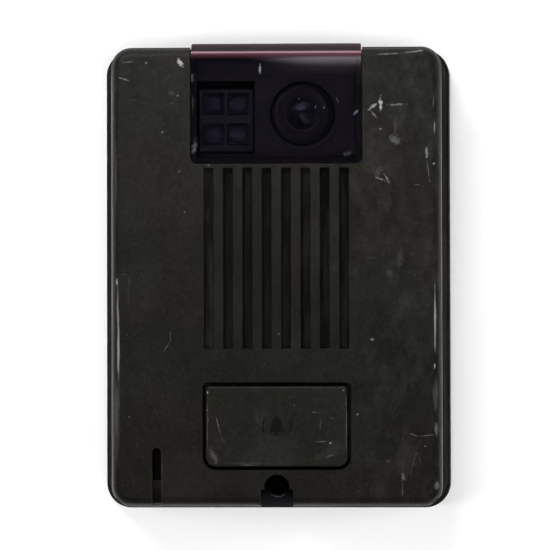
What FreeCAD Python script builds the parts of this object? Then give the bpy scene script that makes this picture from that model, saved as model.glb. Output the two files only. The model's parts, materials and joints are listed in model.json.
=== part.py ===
"""Outdoor camera station of a video door intercom, as an assembly of separate pieces.

Row frame: +Z up, +X to the visitor's right, the visitor stands on the -Y side. The origin is on the wall
plane, half way between the two wall screws. Everything is in millimetres. Depth positions are Y values, so
they are negative in front of the wall, and a smaller number is nearer the visitor.
"""

import FreeCAD, Part
import math
import os

Vec = FreeCAD.Vector
ALONG_X = Vec(1, 0, 0)
ALONG_Y = Vec(0, 1, 0)
ALONG_Z = Vec(0, 0, 1)

# ---------------------------------------------------------------- driving dimensions
WIDTH = 99.0  # rear case where it meets the wall
HEIGHT = 131.4
DEPTH = 33.0  # wall to the flat of the face
MOULDING = 2.2  # wall thickness of the two shells

# Depth stations from the wall forwards
Y_BRACKET = -1.2  # front of the wall plate
Y_BACK_OUT = -4.6  # rear face of the rear case's back wall
Y_BACK_IN = Y_BACK_OUT - MOULDING
Y_CHASSIS = -9.2  # rear face of the camera chassis plate
Y_FLANGE = -10.0  # front edge of the rear case's flange
Y_PARTING = Y_FLANGE - 0.8  # rear edge of the front cover, one gasket ahead of the flange
Y_BOARD = -12.4  # rear face of the main board
BOARD_T = 1.6
Y_RIM = -29.8  # where the cover's drafted side meets the front slab
Y_FACE = -DEPTH
Y_FACE_IN = Y_FACE + 2.4  # inside of the front wall

# Cover outline at the rim and at the parting line
RIM_W, RIM_H, RIM_R, RIM_Z = 90.2, 125.6, 5.2, 0.35
BASE_W, BASE_H, BASE_R = 95.8, 127.8, 6.8
LIP = 0.32  # how far the thin lip stands out round the rim
BEVEL = 2.4  # rounding from the rim to the face
FLANGE_W, FLANGE_H, FLANGE_R = WIDTH - 1.6, HEIGHT - 1.6, 7.0
BACK_R = 7.4

# Camera window: a smoked sheet that runs up the face and over the top edge
WINDOW_HALF = 23.4
WINDOW_T = 1.8
WINDOW_LINE = [(Y_FACE - 0.15, 31.45), (Y_FACE - 0.15, 61.8), (-29.4, 64.65), (-22.0, 64.85)]  # (Y, Z)
WINDOW_GAP = 0.25
WINDOW_CORNER_R = 1.7
TAPE_T = 0.3
LEDGE_T = 1.5
LEDGE_LAP = 1.6

# Speaker grille
SLOTS, SLOT_PITCH, SLOT_W = 8, 5.3, 2.5
SLOT_TOP, SLOT_BOTTOM = 30.0, -19.4
SPEAKER_Z = (SLOT_TOP + SLOT_BOTTOM) / 2
SPEAKER_R = 22.5
Y_SPEAKER = Y_FACE_IN + 1.3  # front of the speaker's flange, behind the cloth and its foam ring

# Call button
BUTTON_HALF = 19.25
BUTTON_TOP, BUTTON_BOTTOM = -29.7, -51.7
BUTTON_GAP = 0.9
BUTTON_TOP_R, BUTTON_LOW_R = 0.8, 2.6
BUTTON_Z = (BUTTON_TOP + BUTTON_BOTTOM) / 2
BUTTON_TRAVEL = 1.0
Y_BUTTON = Y_FACE - 0.25
Y_BUTTON_IN = Y_BUTTON + 2.0
Y_HOLDER = -24.4  # front of the switch holder plate
HOLDER_T = 1.5
SPRING_X = 14.5

# Fixing screw notch and the screw
NOTCH_R, NOTCH_Z, NOTCH_HALF, NOTCH_STEP_Z = 3.45, -57.3, 4.4, -57.9
Y_NOTCH = -16.0  # floor of the notch, under the screw head
NOTCH_FLOOR_T = 1.8
SCREW_Z = -58.6
SCREW_R = 1.5

# Microphone groove
MIC_X, MIC_Z = -32.9, -51.5
GROOVE_HALF = 1.2
GROOVE_DEEP = 1.3
GROOVE_TOP, GROOVE_SLOT_END = -46.6, -55.5

# Camera pod, a ball that tilts about the X axis
POD_X, POD_Y, POD_Z, POD_R = 7.2, -21.5, 45.3, 9.8
POD_FRONT, POD_REAR = -29.2, -14.5
TRUNNION_R, TRUNNION_PLAY = 1.6, 0.05
ARM_IN, ARM_OUT = 10.4, 12.4
LENS_R = 5.5

# Corner and board fastenings: (x, z)
CASE_SCREWS = [(sx * 40.0, z) for sx in (-1, 1) for z in (-54.5, 55.5)]
BOARD_SCREWS = [(sx * 36.0, z) for sx in (-1, 1) for z in (-42.0, 24.0)]
CHASSIS_SCREWS = [(sx * 28.5, z) for sx in (-1, 1) for z in (37.0, 54.0)]
HOLDER_SCREWS = [(sx * 24.4, z) for sx in (-1, 1) for z in (-33.0, -48.5)]
SPEAKER_SCREWS = [(sx * 23.6, SPEAKER_Z + sz * 8.0) for sx in (-1, 1) for sz in (-1, 1)]

# Wall plate
PLATE_HALF_W, PLATE_TOP, PLATE_BOTTOM = 40.0, 58.2, -62.0
WALL_SCREW_PITCH, WALL_SCREW_R = 83.5, 2.25
HOOK_X, HOOK_HALF_W = 20.5, 4.5


# ---------------------------------------------------------------- shape helpers
def block(x0, x1, y0, y1, z0, z1):
    """A box between two corners, given as ranges."""
    return Part.makeBox(x1 - x0, y1 - y0, z1 - z0, Vec(x0, y0, z0))


def rod(x, z, radius, y0, y1):
    """A cylinder along Y from y0 to y1."""
    return Part.makeCylinder(radius, y1 - y0, Vec(x, y0, z), ALONG_Y)


def tube(x, z, outer, inner, y0, y1):
    return rod(x, z, outer, y0, y1).cut(rod(x, z, inner, y0 - 1, y1 + 1))


def fused(shapes):
    """All the shapes as one solid, with the joins between coplanar faces removed."""
    first, rest = shapes[0], shapes[1:]
    return first.multiFuse(rest).removeSplitter() if rest else first


def outline(x0, x1, z0, z1, y, top_r, low_r=None):
    """A rounded rectangle in the plane at depth y. Its upper corners are top_r, and its lower ones low_r."""
    low_r = top_r if low_r is None else low_r
    corners = [(x1, z1, top_r, 0), (x0, z1, top_r, 90), (x0, z0, low_r, 180), (x1, z0, low_r, 270)]
    arcs = []
    for x, z, r, start in corners:
        cx = x - r if x == x1 else x + r
        cz = z - r if z == z1 else z + r
        turns = [math.radians(start + turn) for turn in (0, 45, 90)]
        points = [Vec(cx + r * math.cos(turn), y, cz + r * math.sin(turn)) for turn in turns]
        arcs.append(Part.Arc(*points).toShape())
    edges = []
    for here, after in zip(arcs, arcs[1:] + arcs[:1]):
        edges += [here, Part.makeLine(here.Vertexes[-1].Point, after.Vertexes[0].Point)]
    return Part.Wire(edges)


def centred(width, height, radius, y, z=0.0):
    """A rounded rectangle of that size, centred on X = 0."""
    return outline(-width / 2, width / 2, z - height / 2, z + height / 2, y, radius)


def slab(wire, thickness):
    """The wire's face, extruded along +Y."""
    return Part.Face(wire).extrude(Vec(0, thickness, 0))


def loft(rear, front):
    return Part.makeLoft([rear, front], True, True)


def edges_at(shape, y, tolerance=1e-4):
    """The edges that lie wholly in the plane at depth y."""
    return [
        e
        for e in shape.Edges
        if abs(e.BoundBox.YMin - y) < tolerance and abs(e.BoundBox.YMax - y) < tolerance
    ]


def flare(x0, x1, z0, z1, radius, low_radius, size, y=Y_FACE):
    """A cutter that puts a small chamfer round an opening in the face at depth y."""
    margin = 0.02
    grow = size + margin
    inner = outline(x0, x1, z0, z1, y + size, radius, low_radius)
    outer = outline(
        x0 - grow, x1 + grow, z0 - grow, z1 + grow, y - margin, radius + grow, low_radius + grow
    )
    return loft(inner, outer)


def shifted(points, distance):
    """The open (Y, Z) line moved sideways by distance, towards the inside of the housing."""
    moved = []
    normals = []
    for (ya, za), (yb, zb) in zip(points, points[1:]):
        length = math.hypot(yb - ya, zb - za)
        normals.append(((zb - za) / length, -(yb - ya) / length))
    for i, (y, z) in enumerate(points):
        before = normals[max(i - 1, 0)]
        after = normals[min(i, len(normals) - 1)]
        my, mz = before[0] + after[0], before[1] + after[1]
        stretch = 2 / (my * my + mz * mz)
        moved.append((y + my * stretch * distance, z + mz * stretch * distance))
    return moved


def band(points, near, far, x0, x1):
    """A bent plate between two sideways shifts of a (Y, Z) line, from x0 to x1."""
    ring = shifted(points, near) + shifted(points, far)[::-1]
    face = Part.Face(Part.makePolygon([Vec(x0, y, z) for y, z in ring + ring[:1]]))
    return face.extrude(Vec(x1 - x0, 0, 0))


def window_line(low=0.0, back=0.0):
    """The window's outer line, with its lower end and its rear end drawn out by these lengths."""
    (y0, z0), *middle, (y3, z3) = WINDOW_LINE
    y2, z2 = middle[-1]
    slope = (z3 - z2) / (y3 - y2)
    return [(y0, z0 - low), *middle, (y3 + back, z3 + back * slope)]


def pan_screw(x, z, y_seat, length, radius, head_r, head_t, towards=1):
    """A pan-head screw along Y, cross-recessed. Its head faces the wall, or the visitor if towards is -1."""
    far = y_seat - towards * length
    head_end = y_seat + towards * head_t
    shank = rod(x, z, radius, min(y_seat, far), max(y_seat, far))
    head = rod(x, z, head_r, min(y_seat, head_end), max(y_seat, head_end))
    head = head.makeFillet(head_t * 0.4, edges_at(head, head_end))
    arm, width, deep = head_r * 0.6, head_r * 0.2, head_t * 0.6
    y0, y1 = sorted((head_end + towards, head_end - towards * deep))
    cross = fused(
        [
            block(x - arm, x + arm, y0, y1, z - width / 2, z + width / 2),
            block(x - width / 2, x + width / 2, y0, y1, z - arm, z + arm),
        ]
    )
    return fused([head, shank]).cut(cross)


def group(shapes):
    """Several separate solids as one shape."""
    return Part.makeCompound(shapes)


def round_path(points, bend):
    """A wire through the points, with each corner rounded to the radius bend."""
    vectors = [Vec(*p) for p in points]
    edges, start = [], vectors[0]
    for before, corner, after in zip(vectors, vectors[1:], vectors[2:]):
        a, b = (before - corner).normalize(), (after - corner).normalize()
        half = a.getAngle(b) / 2
        reach = bend / math.tan(half)
        into, out = corner + a * reach, corner + b * reach
        centre_way = (a + b).normalize()
        middle = corner + centre_way * (bend / math.sin(half) - bend)
        edges += [Part.makeLine(start, into), Part.Arc(into, middle, out).toShape()]
        start = out
    edges.append(Part.makeLine(start, vectors[-1]))
    return Part.Wire(edges)


def wire_lead(points, radius, bend):
    """A round insulated lead along the points."""
    path = round_path(points, bend)
    way = Vec(*points[1]) - Vec(*points[0])
    section = Part.Wire(Part.makeCircle(radius, Vec(*points[0]), way))
    return path.makePipeShell([section], True, False)


# ---------------------------------------------------------------- shells
def cover_outside():
    """The cover's outer body: a drafted side, a thin lip and a slab with a rounded front edge."""
    side = loft(centred(BASE_W, BASE_H, BASE_R, Y_PARTING), centred(RIM_W, RIM_H, RIM_R, Y_RIM, RIM_Z))
    front = slab(centred(RIM_W, RIM_H, RIM_R, Y_FACE, RIM_Z), Y_RIM - Y_FACE)
    front = front.makeFillet(BEVEL, edges_at(front, Y_FACE))
    lip_t, lip_y = 0.7, Y_RIM - 0.75
    lip = slab(centred(RIM_W + 2 * LIP, RIM_H + 2 * LIP, RIM_R + LIP, lip_y, RIM_Z), lip_t)
    lip = lip.makeFillet(0.25, edges_at(lip, lip_y) + edges_at(lip, lip_y + lip_t))
    return fused([side, front, lip])


def cover_cavity():
    inset = 2 * MOULDING
    rear = centred(BASE_W - inset, BASE_H - inset, BASE_R - MOULDING, Y_PARTING + 0.01)
    front = centred(RIM_W - inset, RIM_H - inset, RIM_R - MOULDING, Y_FACE_IN, RIM_Z)
    return loft(rear, front)


def button_outline(gap, y):
    return outline(
        -BUTTON_HALF - gap,
        BUTTON_HALF + gap,
        BUTTON_BOTTOM - gap,
        BUTTON_TOP + gap,
        y,
        BUTTON_TOP_R + gap / 2,
        BUTTON_LOW_R + gap,
    )


def notch_solid(grow, y0, y1):
    """The fixing screw's notch, open at the cover's bottom: a round top on a wider foot."""
    below = -70.0
    return fused(
        [
            rod(0, NOTCH_Z, NOTCH_R + grow, y0, y1),
            block(-NOTCH_R - grow, NOTCH_R + grow, y0, y1, below, NOTCH_Z),
            block(-NOTCH_HALF - grow, NOTCH_HALF + grow, y0, y1, below, NOTCH_STEP_Z + grow),
        ]
    )


def microphone_groove():
    """A shallow groove that drains to the lower edge, with a sound slot at its upper end."""
    floor = Y_FACE + GROOVE_DEEP
    round_z = GROOVE_TOP - GROOVE_HALF
    x0, x1 = MIC_X - GROOVE_HALF, MIC_X + GROOVE_HALF
    lip_z = RIM_Z - RIM_H / 2
    side = [
        (Y_FACE - 1, round_z),
        (floor, round_z),
        (floor, -57.5),
        (Y_FACE + 2.9, lip_z + 0.2),
        (Y_FACE - 1, lip_z + 0.2),
    ]
    face = Part.Face(Part.makePolygon([Vec(x0, y, z) for y, z in side + side[:1]]))
    groove = face.extrude(Vec(x1 - x0, 0, 0))
    cap = rod(MIC_X, round_z, GROOVE_HALF, Y_FACE - 1, floor)
    slot = fused(
        [
            block(x0, x1, Y_FACE - 1, Y_FACE_IN + 0.5, GROOVE_SLOT_END, round_z),
            rod(MIC_X, round_z, GROOVE_HALF, Y_FACE - 1, Y_FACE_IN + 0.5),
        ]
    )
    return fused([groove, cap, slot])


def rounded_low_corners(plate, radius):
    """The bent plate with its two lower corners rounded."""
    low = plate.BoundBox.ZMin
    corners = [e for e in plate.Edges if e.BoundBox.ZMax < low + 1e-3 and e.BoundBox.XLength < 1e-3]
    return plate.makeFillet(radius, corners)


def window_cutters():
    """The pocket that the window lies in and the opening behind it."""
    outer = WINDOW_HALF + WINDOW_GAP
    pocket = band(window_line(WINDOW_GAP, WINDOW_GAP), -5.0, WINDOW_T + TAPE_T, -outer, outer)
    pocket = rounded_low_corners(pocket, WINDOW_CORNER_R + WINDOW_GAP)
    opening = WINDOW_HALF - LEDGE_LAP
    hole = band(window_line(-LEDGE_LAP, -LEDGE_LAP), -5.0, 9.0, -opening, opening)
    return pocket, hole


def front_cover():
    outside = cover_outside()
    shell = outside.cut(cover_cavity())
    deep = Y_FACE + 1.2  # bosses and ribs start inside the front wall

    near = WINDOW_T + TAPE_T
    ledge_half = WINDOW_HALF + 1.8
    ledge = band(window_line(1.0, 1.8), near, near + LEDGE_T, -ledge_half, ledge_half).common(outside)
    skirt = slab(button_outline(BUTTON_GAP + 1.2, deep), Y_HOLDER - 1.1 - deep)
    well = notch_solid(1.5, deep, Y_NOTCH + NOTCH_FLOOR_T).common(outside)
    mic_ring = tube(MIC_X, MIC_Z, 5.2, 4.3, Y_FACE_IN - 0.2, -26.0)
    bosses = (
        [rod(x, z, 3.2, deep, -13.0) for x, z in CASE_SCREWS]
        + [rod(x, z, 2.6, deep, Y_BOARD - BOARD_T) for x, z in BOARD_SCREWS]
        + [rod(x, z, 2.6, deep, Y_CHASSIS - 1.4) for x, z in CHASSIS_SCREWS]
        + [rod(x, z, 2.4, deep, Y_HOLDER) for x, z in HOLDER_SCREWS]
        + [rod(x, z, 2.2, deep, Y_SPEAKER + 1.0) for x, z in SPEAKER_SCREWS]
    )
    body = fused([shell, ledge, skirt, well, mic_ring, *bosses])

    pocket, hole = window_cutters()
    cuts = [pocket, hole, microphone_groove(), notch_solid(0, Y_FACE - 5, Y_NOTCH)]
    cuts.append(rod(0, SCREW_Z, SCREW_R + 0.3, Y_NOTCH - 1, Y_NOTCH + 4))
    cuts.append(slab(button_outline(BUTTON_GAP, Y_FACE - 1), 12.0))
    cuts.append(
        flare(
            -BUTTON_HALF - BUTTON_GAP,
            BUTTON_HALF + BUTTON_GAP,
            BUTTON_BOTTOM - BUTTON_GAP,
            BUTTON_TOP + BUTTON_GAP,
            BUTTON_TOP_R + BUTTON_GAP / 2,
            BUTTON_LOW_R + BUTTON_GAP,
            0.25,
        )
    )
    for i in range(SLOTS):
        x = (i - (SLOTS - 1) / 2) * SLOT_PITCH
        x0, x1 = x - SLOT_W / 2, x + SLOT_W / 2
        cuts.append(block(x0, x1, Y_FACE - 1, Y_FACE_IN + 0.5, SLOT_BOTTOM, SLOT_TOP))
        cuts.append(flare(x0, x1, SLOT_BOTTOM, SLOT_TOP, 0.05, 0.05, 0.2))
    cuts += [rod(x, z, 1.3, -24.0, -12.0) for x, z in CASE_SCREWS]
    cuts += [rod(x, z, 1.05, -22.0, -12.0) for x, z in BOARD_SCREWS]
    cuts += [rod(x, z, 1.05, -20.0, -9.0) for x, z in CHASSIS_SCREWS]
    cuts += [rod(x, z, 1.05, Y_HOLDER - 4.5, Y_HOLDER + 1) for x, z in HOLDER_SCREWS]
    cuts += [rod(x, z, 0.85, Y_FACE_IN - 0.8, Y_SPEAKER + 2) for x, z in SPEAKER_SCREWS]
    return body.cut(cuts)


def rear_case():
    """The flanged rear shell. Its back wall is set in, so that the wall plate fits behind it."""
    outside = loft(centred(WIDTH, HEIGHT, BACK_R, 0), centred(FLANGE_W, FLANGE_H, FLANGE_R, Y_FLANGE))
    outside = outside.makeFillet(0.6, edges_at(outside, Y_FLANGE))
    inset = 2 * MOULDING
    behind = slab(centred(WIDTH - inset, HEIGHT - inset, BACK_R - MOULDING, Y_BACK_OUT), -Y_BACK_OUT + 1)
    inside = slab(
        centred(FLANGE_W - inset, FLANGE_H - inset, FLANGE_R - MOULDING, Y_FLANGE - 1),
        Y_BACK_IN - Y_FLANGE + 1,
    )
    fit = 0.45
    tongue_w, tongue_h = BASE_W - inset - 2 * fit, BASE_H - inset - 2 * fit
    tongue_r = BASE_R - MOULDING - fit
    tongue_t, tongue_y = 1.5, Y_FLANGE - 3.0
    tongue = slab(centred(tongue_w, tongue_h, tongue_r, tongue_y), Y_BACK_IN - tongue_y)
    hollow = slab(
        centred(tongue_w - 2 * tongue_t, tongue_h - 2 * tongue_t, tongue_r - tongue_t, tongue_y - 1),
        Y_BACK_IN - tongue_y + 1,
    )
    shoulder = slab(centred(FLANGE_W - 3, FLANGE_H - 3, FLANGE_R - 1.5, Y_FLANGE), 1.6)
    shoulder = shoulder.cut(slab(centred(tongue_w, tongue_h, tongue_r, Y_FLANGE - 1), 4.0))
    body = fused([outside.cut(behind).cut(inside), tongue.cut(hollow), shoulder])
    towers = [rod(x, z, 4.4, -12.9, Y_BACK_OUT) for x, z in CASE_SCREWS]
    screw_tower = rod(0, SCREW_Z, 2.8, -14.0, Y_BACK_OUT)
    ribs = [block(x - 0.6, x + 0.6, -8.4, Y_BACK_IN, -44.0, 30.0) for x in (-33.0, 33.0)]
    body = fused([body, *towers, screw_tower, *ribs])

    cuts = []
    for x, z in CASE_SCREWS:
        cuts += [rod(x, z, 3.2, -10.6, 1.0), rod(x, z, 1.7, -14.0, -10.0)]
    cuts.append(rod(0, SCREW_Z, SCREW_R + 0.3, -15.0, 1.0))
    for sx in (-1, 1):
        x = sx * HOOK_X
        cuts.append(block(x - 5.6, x + 5.6, Y_BACK_IN - 1, Y_BACK_OUT + 1, 55.0, 58.4))
    cuts.append(slab(outline(-14.5, 14.5, -25.5, -10.5, Y_BACK_IN - 1, 1.5), 4.0))
    cuts.append(slab(outline(POD_X - 2.4, POD_X + 2.4, POD_Z - 5.4, POD_Z + 5.4, Y_BACK_IN - 1, 1.2), 4.0))
    cuts.append(Part.makeCylinder(1.5, 4.0, Vec(24.0, -2.2, -HEIGHT / 2 - 1), ALONG_Z))
    return body.cut(cuts)


def case_gasket():
    """The rubber cord in the groove between cover and flange."""
    outer = slab(centred(BASE_W - 1.6, BASE_H - 1.6, BASE_R - 0.8, Y_PARTING), Y_FLANGE - Y_PARTING)
    inner = slab(centred(BASE_W - 4.8, BASE_H - 4.8, BASE_R - 2.4, Y_PARTING - 1), 3.0)
    return outer.cut(inner)


# ---------------------------------------------------------------- camera window
def window_rim(edge):
    """Whether an edge of the window lies on its outer surface and along its sides or lower end."""
    middle = edge.valueAt((edge.FirstParameter + edge.LastParameter) / 2)
    on_face = abs(middle.y - WINDOW_LINE[0][0]) < 1e-3
    if on_face and middle.z < WINDOW_LINE[0][1] + 2:
        return True
    on_side = abs(abs(middle.x) - WINDOW_HALF) < 1e-3 and edge.BoundBox.XLength < 1e-3
    return on_side and (on_face or middle.z > inner_window_height(middle.y) + 0.5)


def inner_window_height(y):
    """The height of the window's inner surface above the bends, at depth y."""
    (y1, z1), (y2, z2), (y3, z3) = WINDOW_LINE[1:]
    if y < y2:
        outer = z1 + (z2 - z1) * (y - y1) / (y2 - y1)
        return outer - WINDOW_T * math.hypot(y2 - y1, z2 - z1) / (y2 - y1)
    return z2 + (z3 - z2) * (y - y2) / (y3 - y2) - WINDOW_T


def camera_window():
    plate = band(WINDOW_LINE, 0, WINDOW_T, -WINDOW_HALF, WINDOW_HALF)
    plate = rounded_low_corners(plate, WINDOW_CORNER_R)
    (y1, z1), (y2, z2) = WINDOW_LINE[1:3]
    for y, z, radius in ((y1, z1, 0.7), (y2, z2, 1.6)):
        across = [e for e in edges_at(plate, y, 1e-3) if e.BoundBox.XLength > WINDOW_HALF]
        plate = plate.makeFillet(radius, [e for e in across if abs(e.BoundBox.ZMin - z) < 1e-3])
    rim = [e for e in plate.Edges if window_rim(e)]
    return plate.makeChamfer(0.3, rim)


def window_tape():
    """The foam tape frame between the window and its ledge."""
    outer = WINDOW_HALF - 0.1
    full = band(window_line(-0.1, -0.1), WINDOW_T, WINDOW_T + TAPE_T, -outer, outer)
    full = rounded_low_corners(full, WINDOW_CORNER_R)
    inner = WINDOW_HALF - LEDGE_LAP + 0.1
    return full.cut(band(window_line(-LEDGE_LAP + 0.1, -LEDGE_LAP + 0.1), 0, 5, -inner, inner))


# ---------------------------------------------------------------- speaker
def speaker_cloth():
    sheet = block(-23.2, 23.2, Y_FACE_IN, Y_FACE_IN + 0.3, SLOT_BOTTOM - 1.9, SLOT_TOP + 0.1)
    return sheet.cut([rod(x, z, 2.5, Y_FACE_IN - 1, Y_FACE_IN + 1) for x, z in SPEAKER_SCREWS])


def revolve(points, x, z):
    """A solid of revolution about the Y direction through (x, z), from (radius, Y) points."""
    ring = [Vec(x + r, y, z) for r, y in points]
    face = Part.Face(Part.makePolygon(ring + ring[:1]))
    return face.revolve(Vec(x, 0, z), ALONG_Y, 360)


def speaker_gasket():
    return tube(0, SPEAKER_Z, SPEAKER_R, 19.6, Y_FACE_IN + 0.3, Y_SPEAKER)


def speaker_frame():
    """The pressed steel basket, with four windows."""
    y = Y_SPEAKER
    profile = [
        (SPEAKER_R, y),
        (SPEAKER_R, y + 1.0),
        (20.4, y + 1.0),
        (11.6, y + 7.8),
        (6.0, y + 7.8),
        (6.0, y + 7.0),
        (11.2, y + 7.0),
        (19.6, y + 0.6),
        (19.6, y),
    ]
    basket = revolve(profile, 0, SPEAKER_Z)
    windows = []
    for quarter in range(4):
        hole = block(11.5, 18.0, y + 1.8, y + 12, SPEAKER_Z - 5, SPEAKER_Z + 5)
        hole.rotate(Vec(0, 0, SPEAKER_Z), ALONG_Y, 45 + 90 * quarter)
        windows.append(hole)
    return basket.cut(windows)


def speaker_cone():
    """The paper cone with its rolled surround and dust cap."""
    y = Y_SPEAKER
    profile = [
        (19.4, y + 0.05),
        (19.4, y + 0.35),
        (17.2, y + 0.5),
        (16.4, y + 0.9),
        (6.4, y + 4.6),
        (5.6, y + 6.6),
        (5.2, y + 6.6),
        (5.6, y + 4.2),
        (4.0, y + 3.2),
        (0.0, y + 2.8),
        (0.0, y + 2.5),
        (4.2, y + 2.9),
        (6.2, y + 4.1),
        (16.2, y + 0.5),
        (17.2, y + 0.15),
    ]
    return revolve(profile, 0, SPEAKER_Z)


def speaker_magnet():
    return tube(0, SPEAKER_Z, 11.0, 6.2, Y_SPEAKER + 7.8, Y_SPEAKER + 11.8)


def speaker_yoke():
    """The steel back plate and the pole that reaches into the voice coil."""
    y = Y_SPEAKER
    plate = rod(0, SPEAKER_Z, 10.0, y + 11.8, y + 13.2)
    pole = rod(0, SPEAKER_Z, 4.6, y + 5.6, y + 11.8)
    return fused([plate, pole])


def speaker_screws():
    return group([pan_screw(x, z, Y_SPEAKER + 1.0, 2.6, 0.8, 3.5, 1.3) for x, z in SPEAKER_SCREWS])


# ---------------------------------------------------------------- call button
def button_cap():
    """The key: a slightly raised plate with a skirt, a pressing post, spring posts and two snap legs."""
    plate = slab(button_outline(0, Y_BUTTON), Y_BUTTON_IN - Y_BUTTON)
    plate = plate.makeFillet(0.5, edges_at(plate, Y_BUTTON))
    skirt_y = -27.4
    skirt = slab(button_outline(0, Y_BUTTON + 1), skirt_y - Y_BUTTON - 1)
    skirt = skirt.cut(slab(button_outline(-1.2, Y_BUTTON), 20.0))
    post_y = plunger_tip()
    post = rod(0, BUTTON_Z, 2.2, Y_BUTTON + 1, post_y)
    spring_posts = [rod(sx * SPRING_X, BUTTON_Z, 1.3, Y_BUTTON + 1, Y_BUTTON_IN + 2.4) for sx in (-1, 1)]
    legs = []
    catch = Y_HOLDER + HOLDER_T
    upper_leg = (BUTTON_TOP - 2.4, BUTTON_TOP - 1.0, 0.7)
    lower_leg = (BUTTON_BOTTOM + 1.0, BUTTON_BOTTOM + 2.4, -0.7)
    for z0, z1, out in (upper_leg, lower_leg):
        legs.append(block(-12.4, -9.6, Y_BUTTON + 1, catch + 1.6, z0, z1))
        legs.append(block(9.6, 12.4, Y_BUTTON + 1, catch + 1.6, z0, z1))
        for x in (-11.0, 11.0):
            lo, hi = sorted((z0 + out, z1 + out))
            legs.append(block(x - 1.4, x + 1.4, catch, catch + 1.6, lo, hi))
    ribs = []
    rib_t = BUTTON_GAP - 0.25
    rib_y = Y_BUTTON + 3
    for x in (-13.0, 13.0):
        for z0, z1 in ((BUTTON_TOP - 0.5, BUTTON_TOP + rib_t), (BUTTON_BOTTOM - rib_t, BUTTON_BOTTOM + 0.5)):
            ribs.append(block(x - 0.6, x + 0.6, rib_y, skirt_y, z0, z1))
    for z in (BUTTON_Z - 5.0, BUTTON_Z + 5.0):
        for x0, x1 in ((-BUTTON_HALF - rib_t, -BUTTON_HALF + 0.5), (BUTTON_HALF - 0.5, BUTTON_HALF + rib_t)):
            ribs.append(block(x0, x1, rib_y, skirt_y, z - 0.6, z + 0.6))
    cap = fused([plate, skirt, post, *spring_posts, *legs, *ribs])
    return cap.cut(bell_mark())


def bell_mark():
    """A plain handbell pictogram, sunk 0.15 mm into the key, between two arcs."""
    deep, top = 0.15, Y_BUTTON - 0.5
    y1 = Y_BUTTON + deep
    z = BUTTON_Z
    dome = rod(0, z + 0.5, 1.5, top, y1)
    waist = block(-1.5, 1.5, top, y1, z - 1.2, z + 0.5)
    brim = block(-2.1, 2.1, top, y1, z - 1.7, z - 1.2)
    clapper = rod(0, z - 2.1, 0.55, top, y1)
    knob = rod(0, z + 2.2, 0.45, top, y1)
    marks = [fused([dome, waist, brim, clapper, knob])]
    for start in (155, -25):
        ring = tube(0, z, 4.1, 3.65, top, y1)
        wedge_far = 6.0
        corners = [Vec(0, top, z)]
        for turn in (start, start + 50):
            a = math.radians(turn)
            corners.append(Vec(wedge_far * math.cos(a), top, z + wedge_far * math.sin(a)))
        wedge = Part.Face(Part.makePolygon(corners + corners[:1])).extrude(Vec(0, y1 - top, 0))
        marks.append(ring.common(wedge))
    return marks


def plunger_tip():
    """Depth of the switch plunger's tip, where the key's post rests on it."""
    return Y_HOLDER - 4.0


def button_springs():
    """Two return springs between the key and the holder."""
    coils, wire_r, mean_r = 5.0, 0.22, 1.85
    y0, y1 = Y_BUTTON_IN + wire_r, Y_HOLDER - wire_r
    springs = []
    for sx in (-1, 1):
        helix = Part.makeHelix((y1 - y0) / coils, y1 - y0, mean_r)
        section = Part.Wire(Part.makeCircle(wire_r, Vec(mean_r, 0, 0), ALONG_Y))
        coil = Part.Wire(helix).makePipeShell([section], True, True)
        coil.rotate(Vec(0, 0, 0), ALONG_X, -90)
        coil.translate(Vec(sx * SPRING_X, y0, BUTTON_Z))
        springs.append(coil)
    return group(springs)


def button_seal():
    """The silicone ring between the cover's button well and the switch holder."""
    y0 = Y_HOLDER - 1.1
    outer = slab(button_outline(BUTTON_GAP + 1.2, y0), 1.1)
    return outer.cut([slab(button_outline(BUTTON_GAP, y0 - 1), 4.0), notch_solid(1.55, y0 - 1, y0 + 3)])


def switch_holder():
    """The plate behind the key that carries the switch board and takes the springs."""
    y0, y1 = Y_HOLDER, Y_HOLDER + HOLDER_T
    plate = slab(outline(-22.0, 22.0, BUTTON_BOTTOM - 2.3, BUTTON_TOP + 2.3, y0, 2.0), HOLDER_T)
    ears = [rod(x, z, 2.8, y0, y1) for x, z in HOLDER_SCREWS]
    ears += [block(min(x, x * 0.85), max(x, x * 0.85), y0, y1, z - 2.4, z + 2.4) for x, z in HOLDER_SCREWS]
    spigots = [rod(sx * SPRING_X, BUTTON_Z, 1.3, y0 - 1.4, y1) for sx in (-1, 1)]
    posts = [rod(0, BUTTON_Z + sz * 7.0, 1.6, y0, y1 + 0.6) for sz in (-1, 1)]
    body = fused([plate, *ears, *spigots, *posts])
    cuts = [block(-3.4, 3.4, y0 - 1, y1 + 1, BUTTON_Z - 3.4, BUTTON_Z + 3.4)]
    cuts.append(notch_solid(1.8, y0 - 3, y1 + 3))
    for x in (-11.0, 11.0):
        cuts.append(block(x - 1.8, x + 1.8, y0 - 1, y1 + 1, BUTTON_TOP - 2.7, BUTTON_TOP - 0.75))
        cuts.append(block(x - 1.8, x + 1.8, y0 - 1, y1 + 1, BUTTON_BOTTOM + 0.75, BUTTON_BOTTOM + 2.7))
    cuts += [rod(x, z, 1.3, y0 - 1, y1 + 1) for x, z in HOLDER_SCREWS]
    cuts += [rod(0, BUTTON_Z + sz * 7.0, 0.7, y0 + 0.4, y1 + 2) for sz in (-1, 1)]
    return body.cut(cuts)


def holder_screws():
    return group([pan_screw(x, z, Y_HOLDER + HOLDER_T, 5.0, 1.0, 2.0, 1.4) for x, z in HOLDER_SCREWS])


def switch_board():
    y0 = Y_HOLDER + HOLDER_T + 0.6
    board = block(-7.0, 7.0, y0, y0 + 1.2, BUTTON_Z - 9.0, BUTTON_Z + 9.0)
    return board.cut([rod(0, BUTTON_Z + sz * 7.0, 0.9, y0 - 1, y0 + 2) for sz in (-1, 1)])


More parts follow.
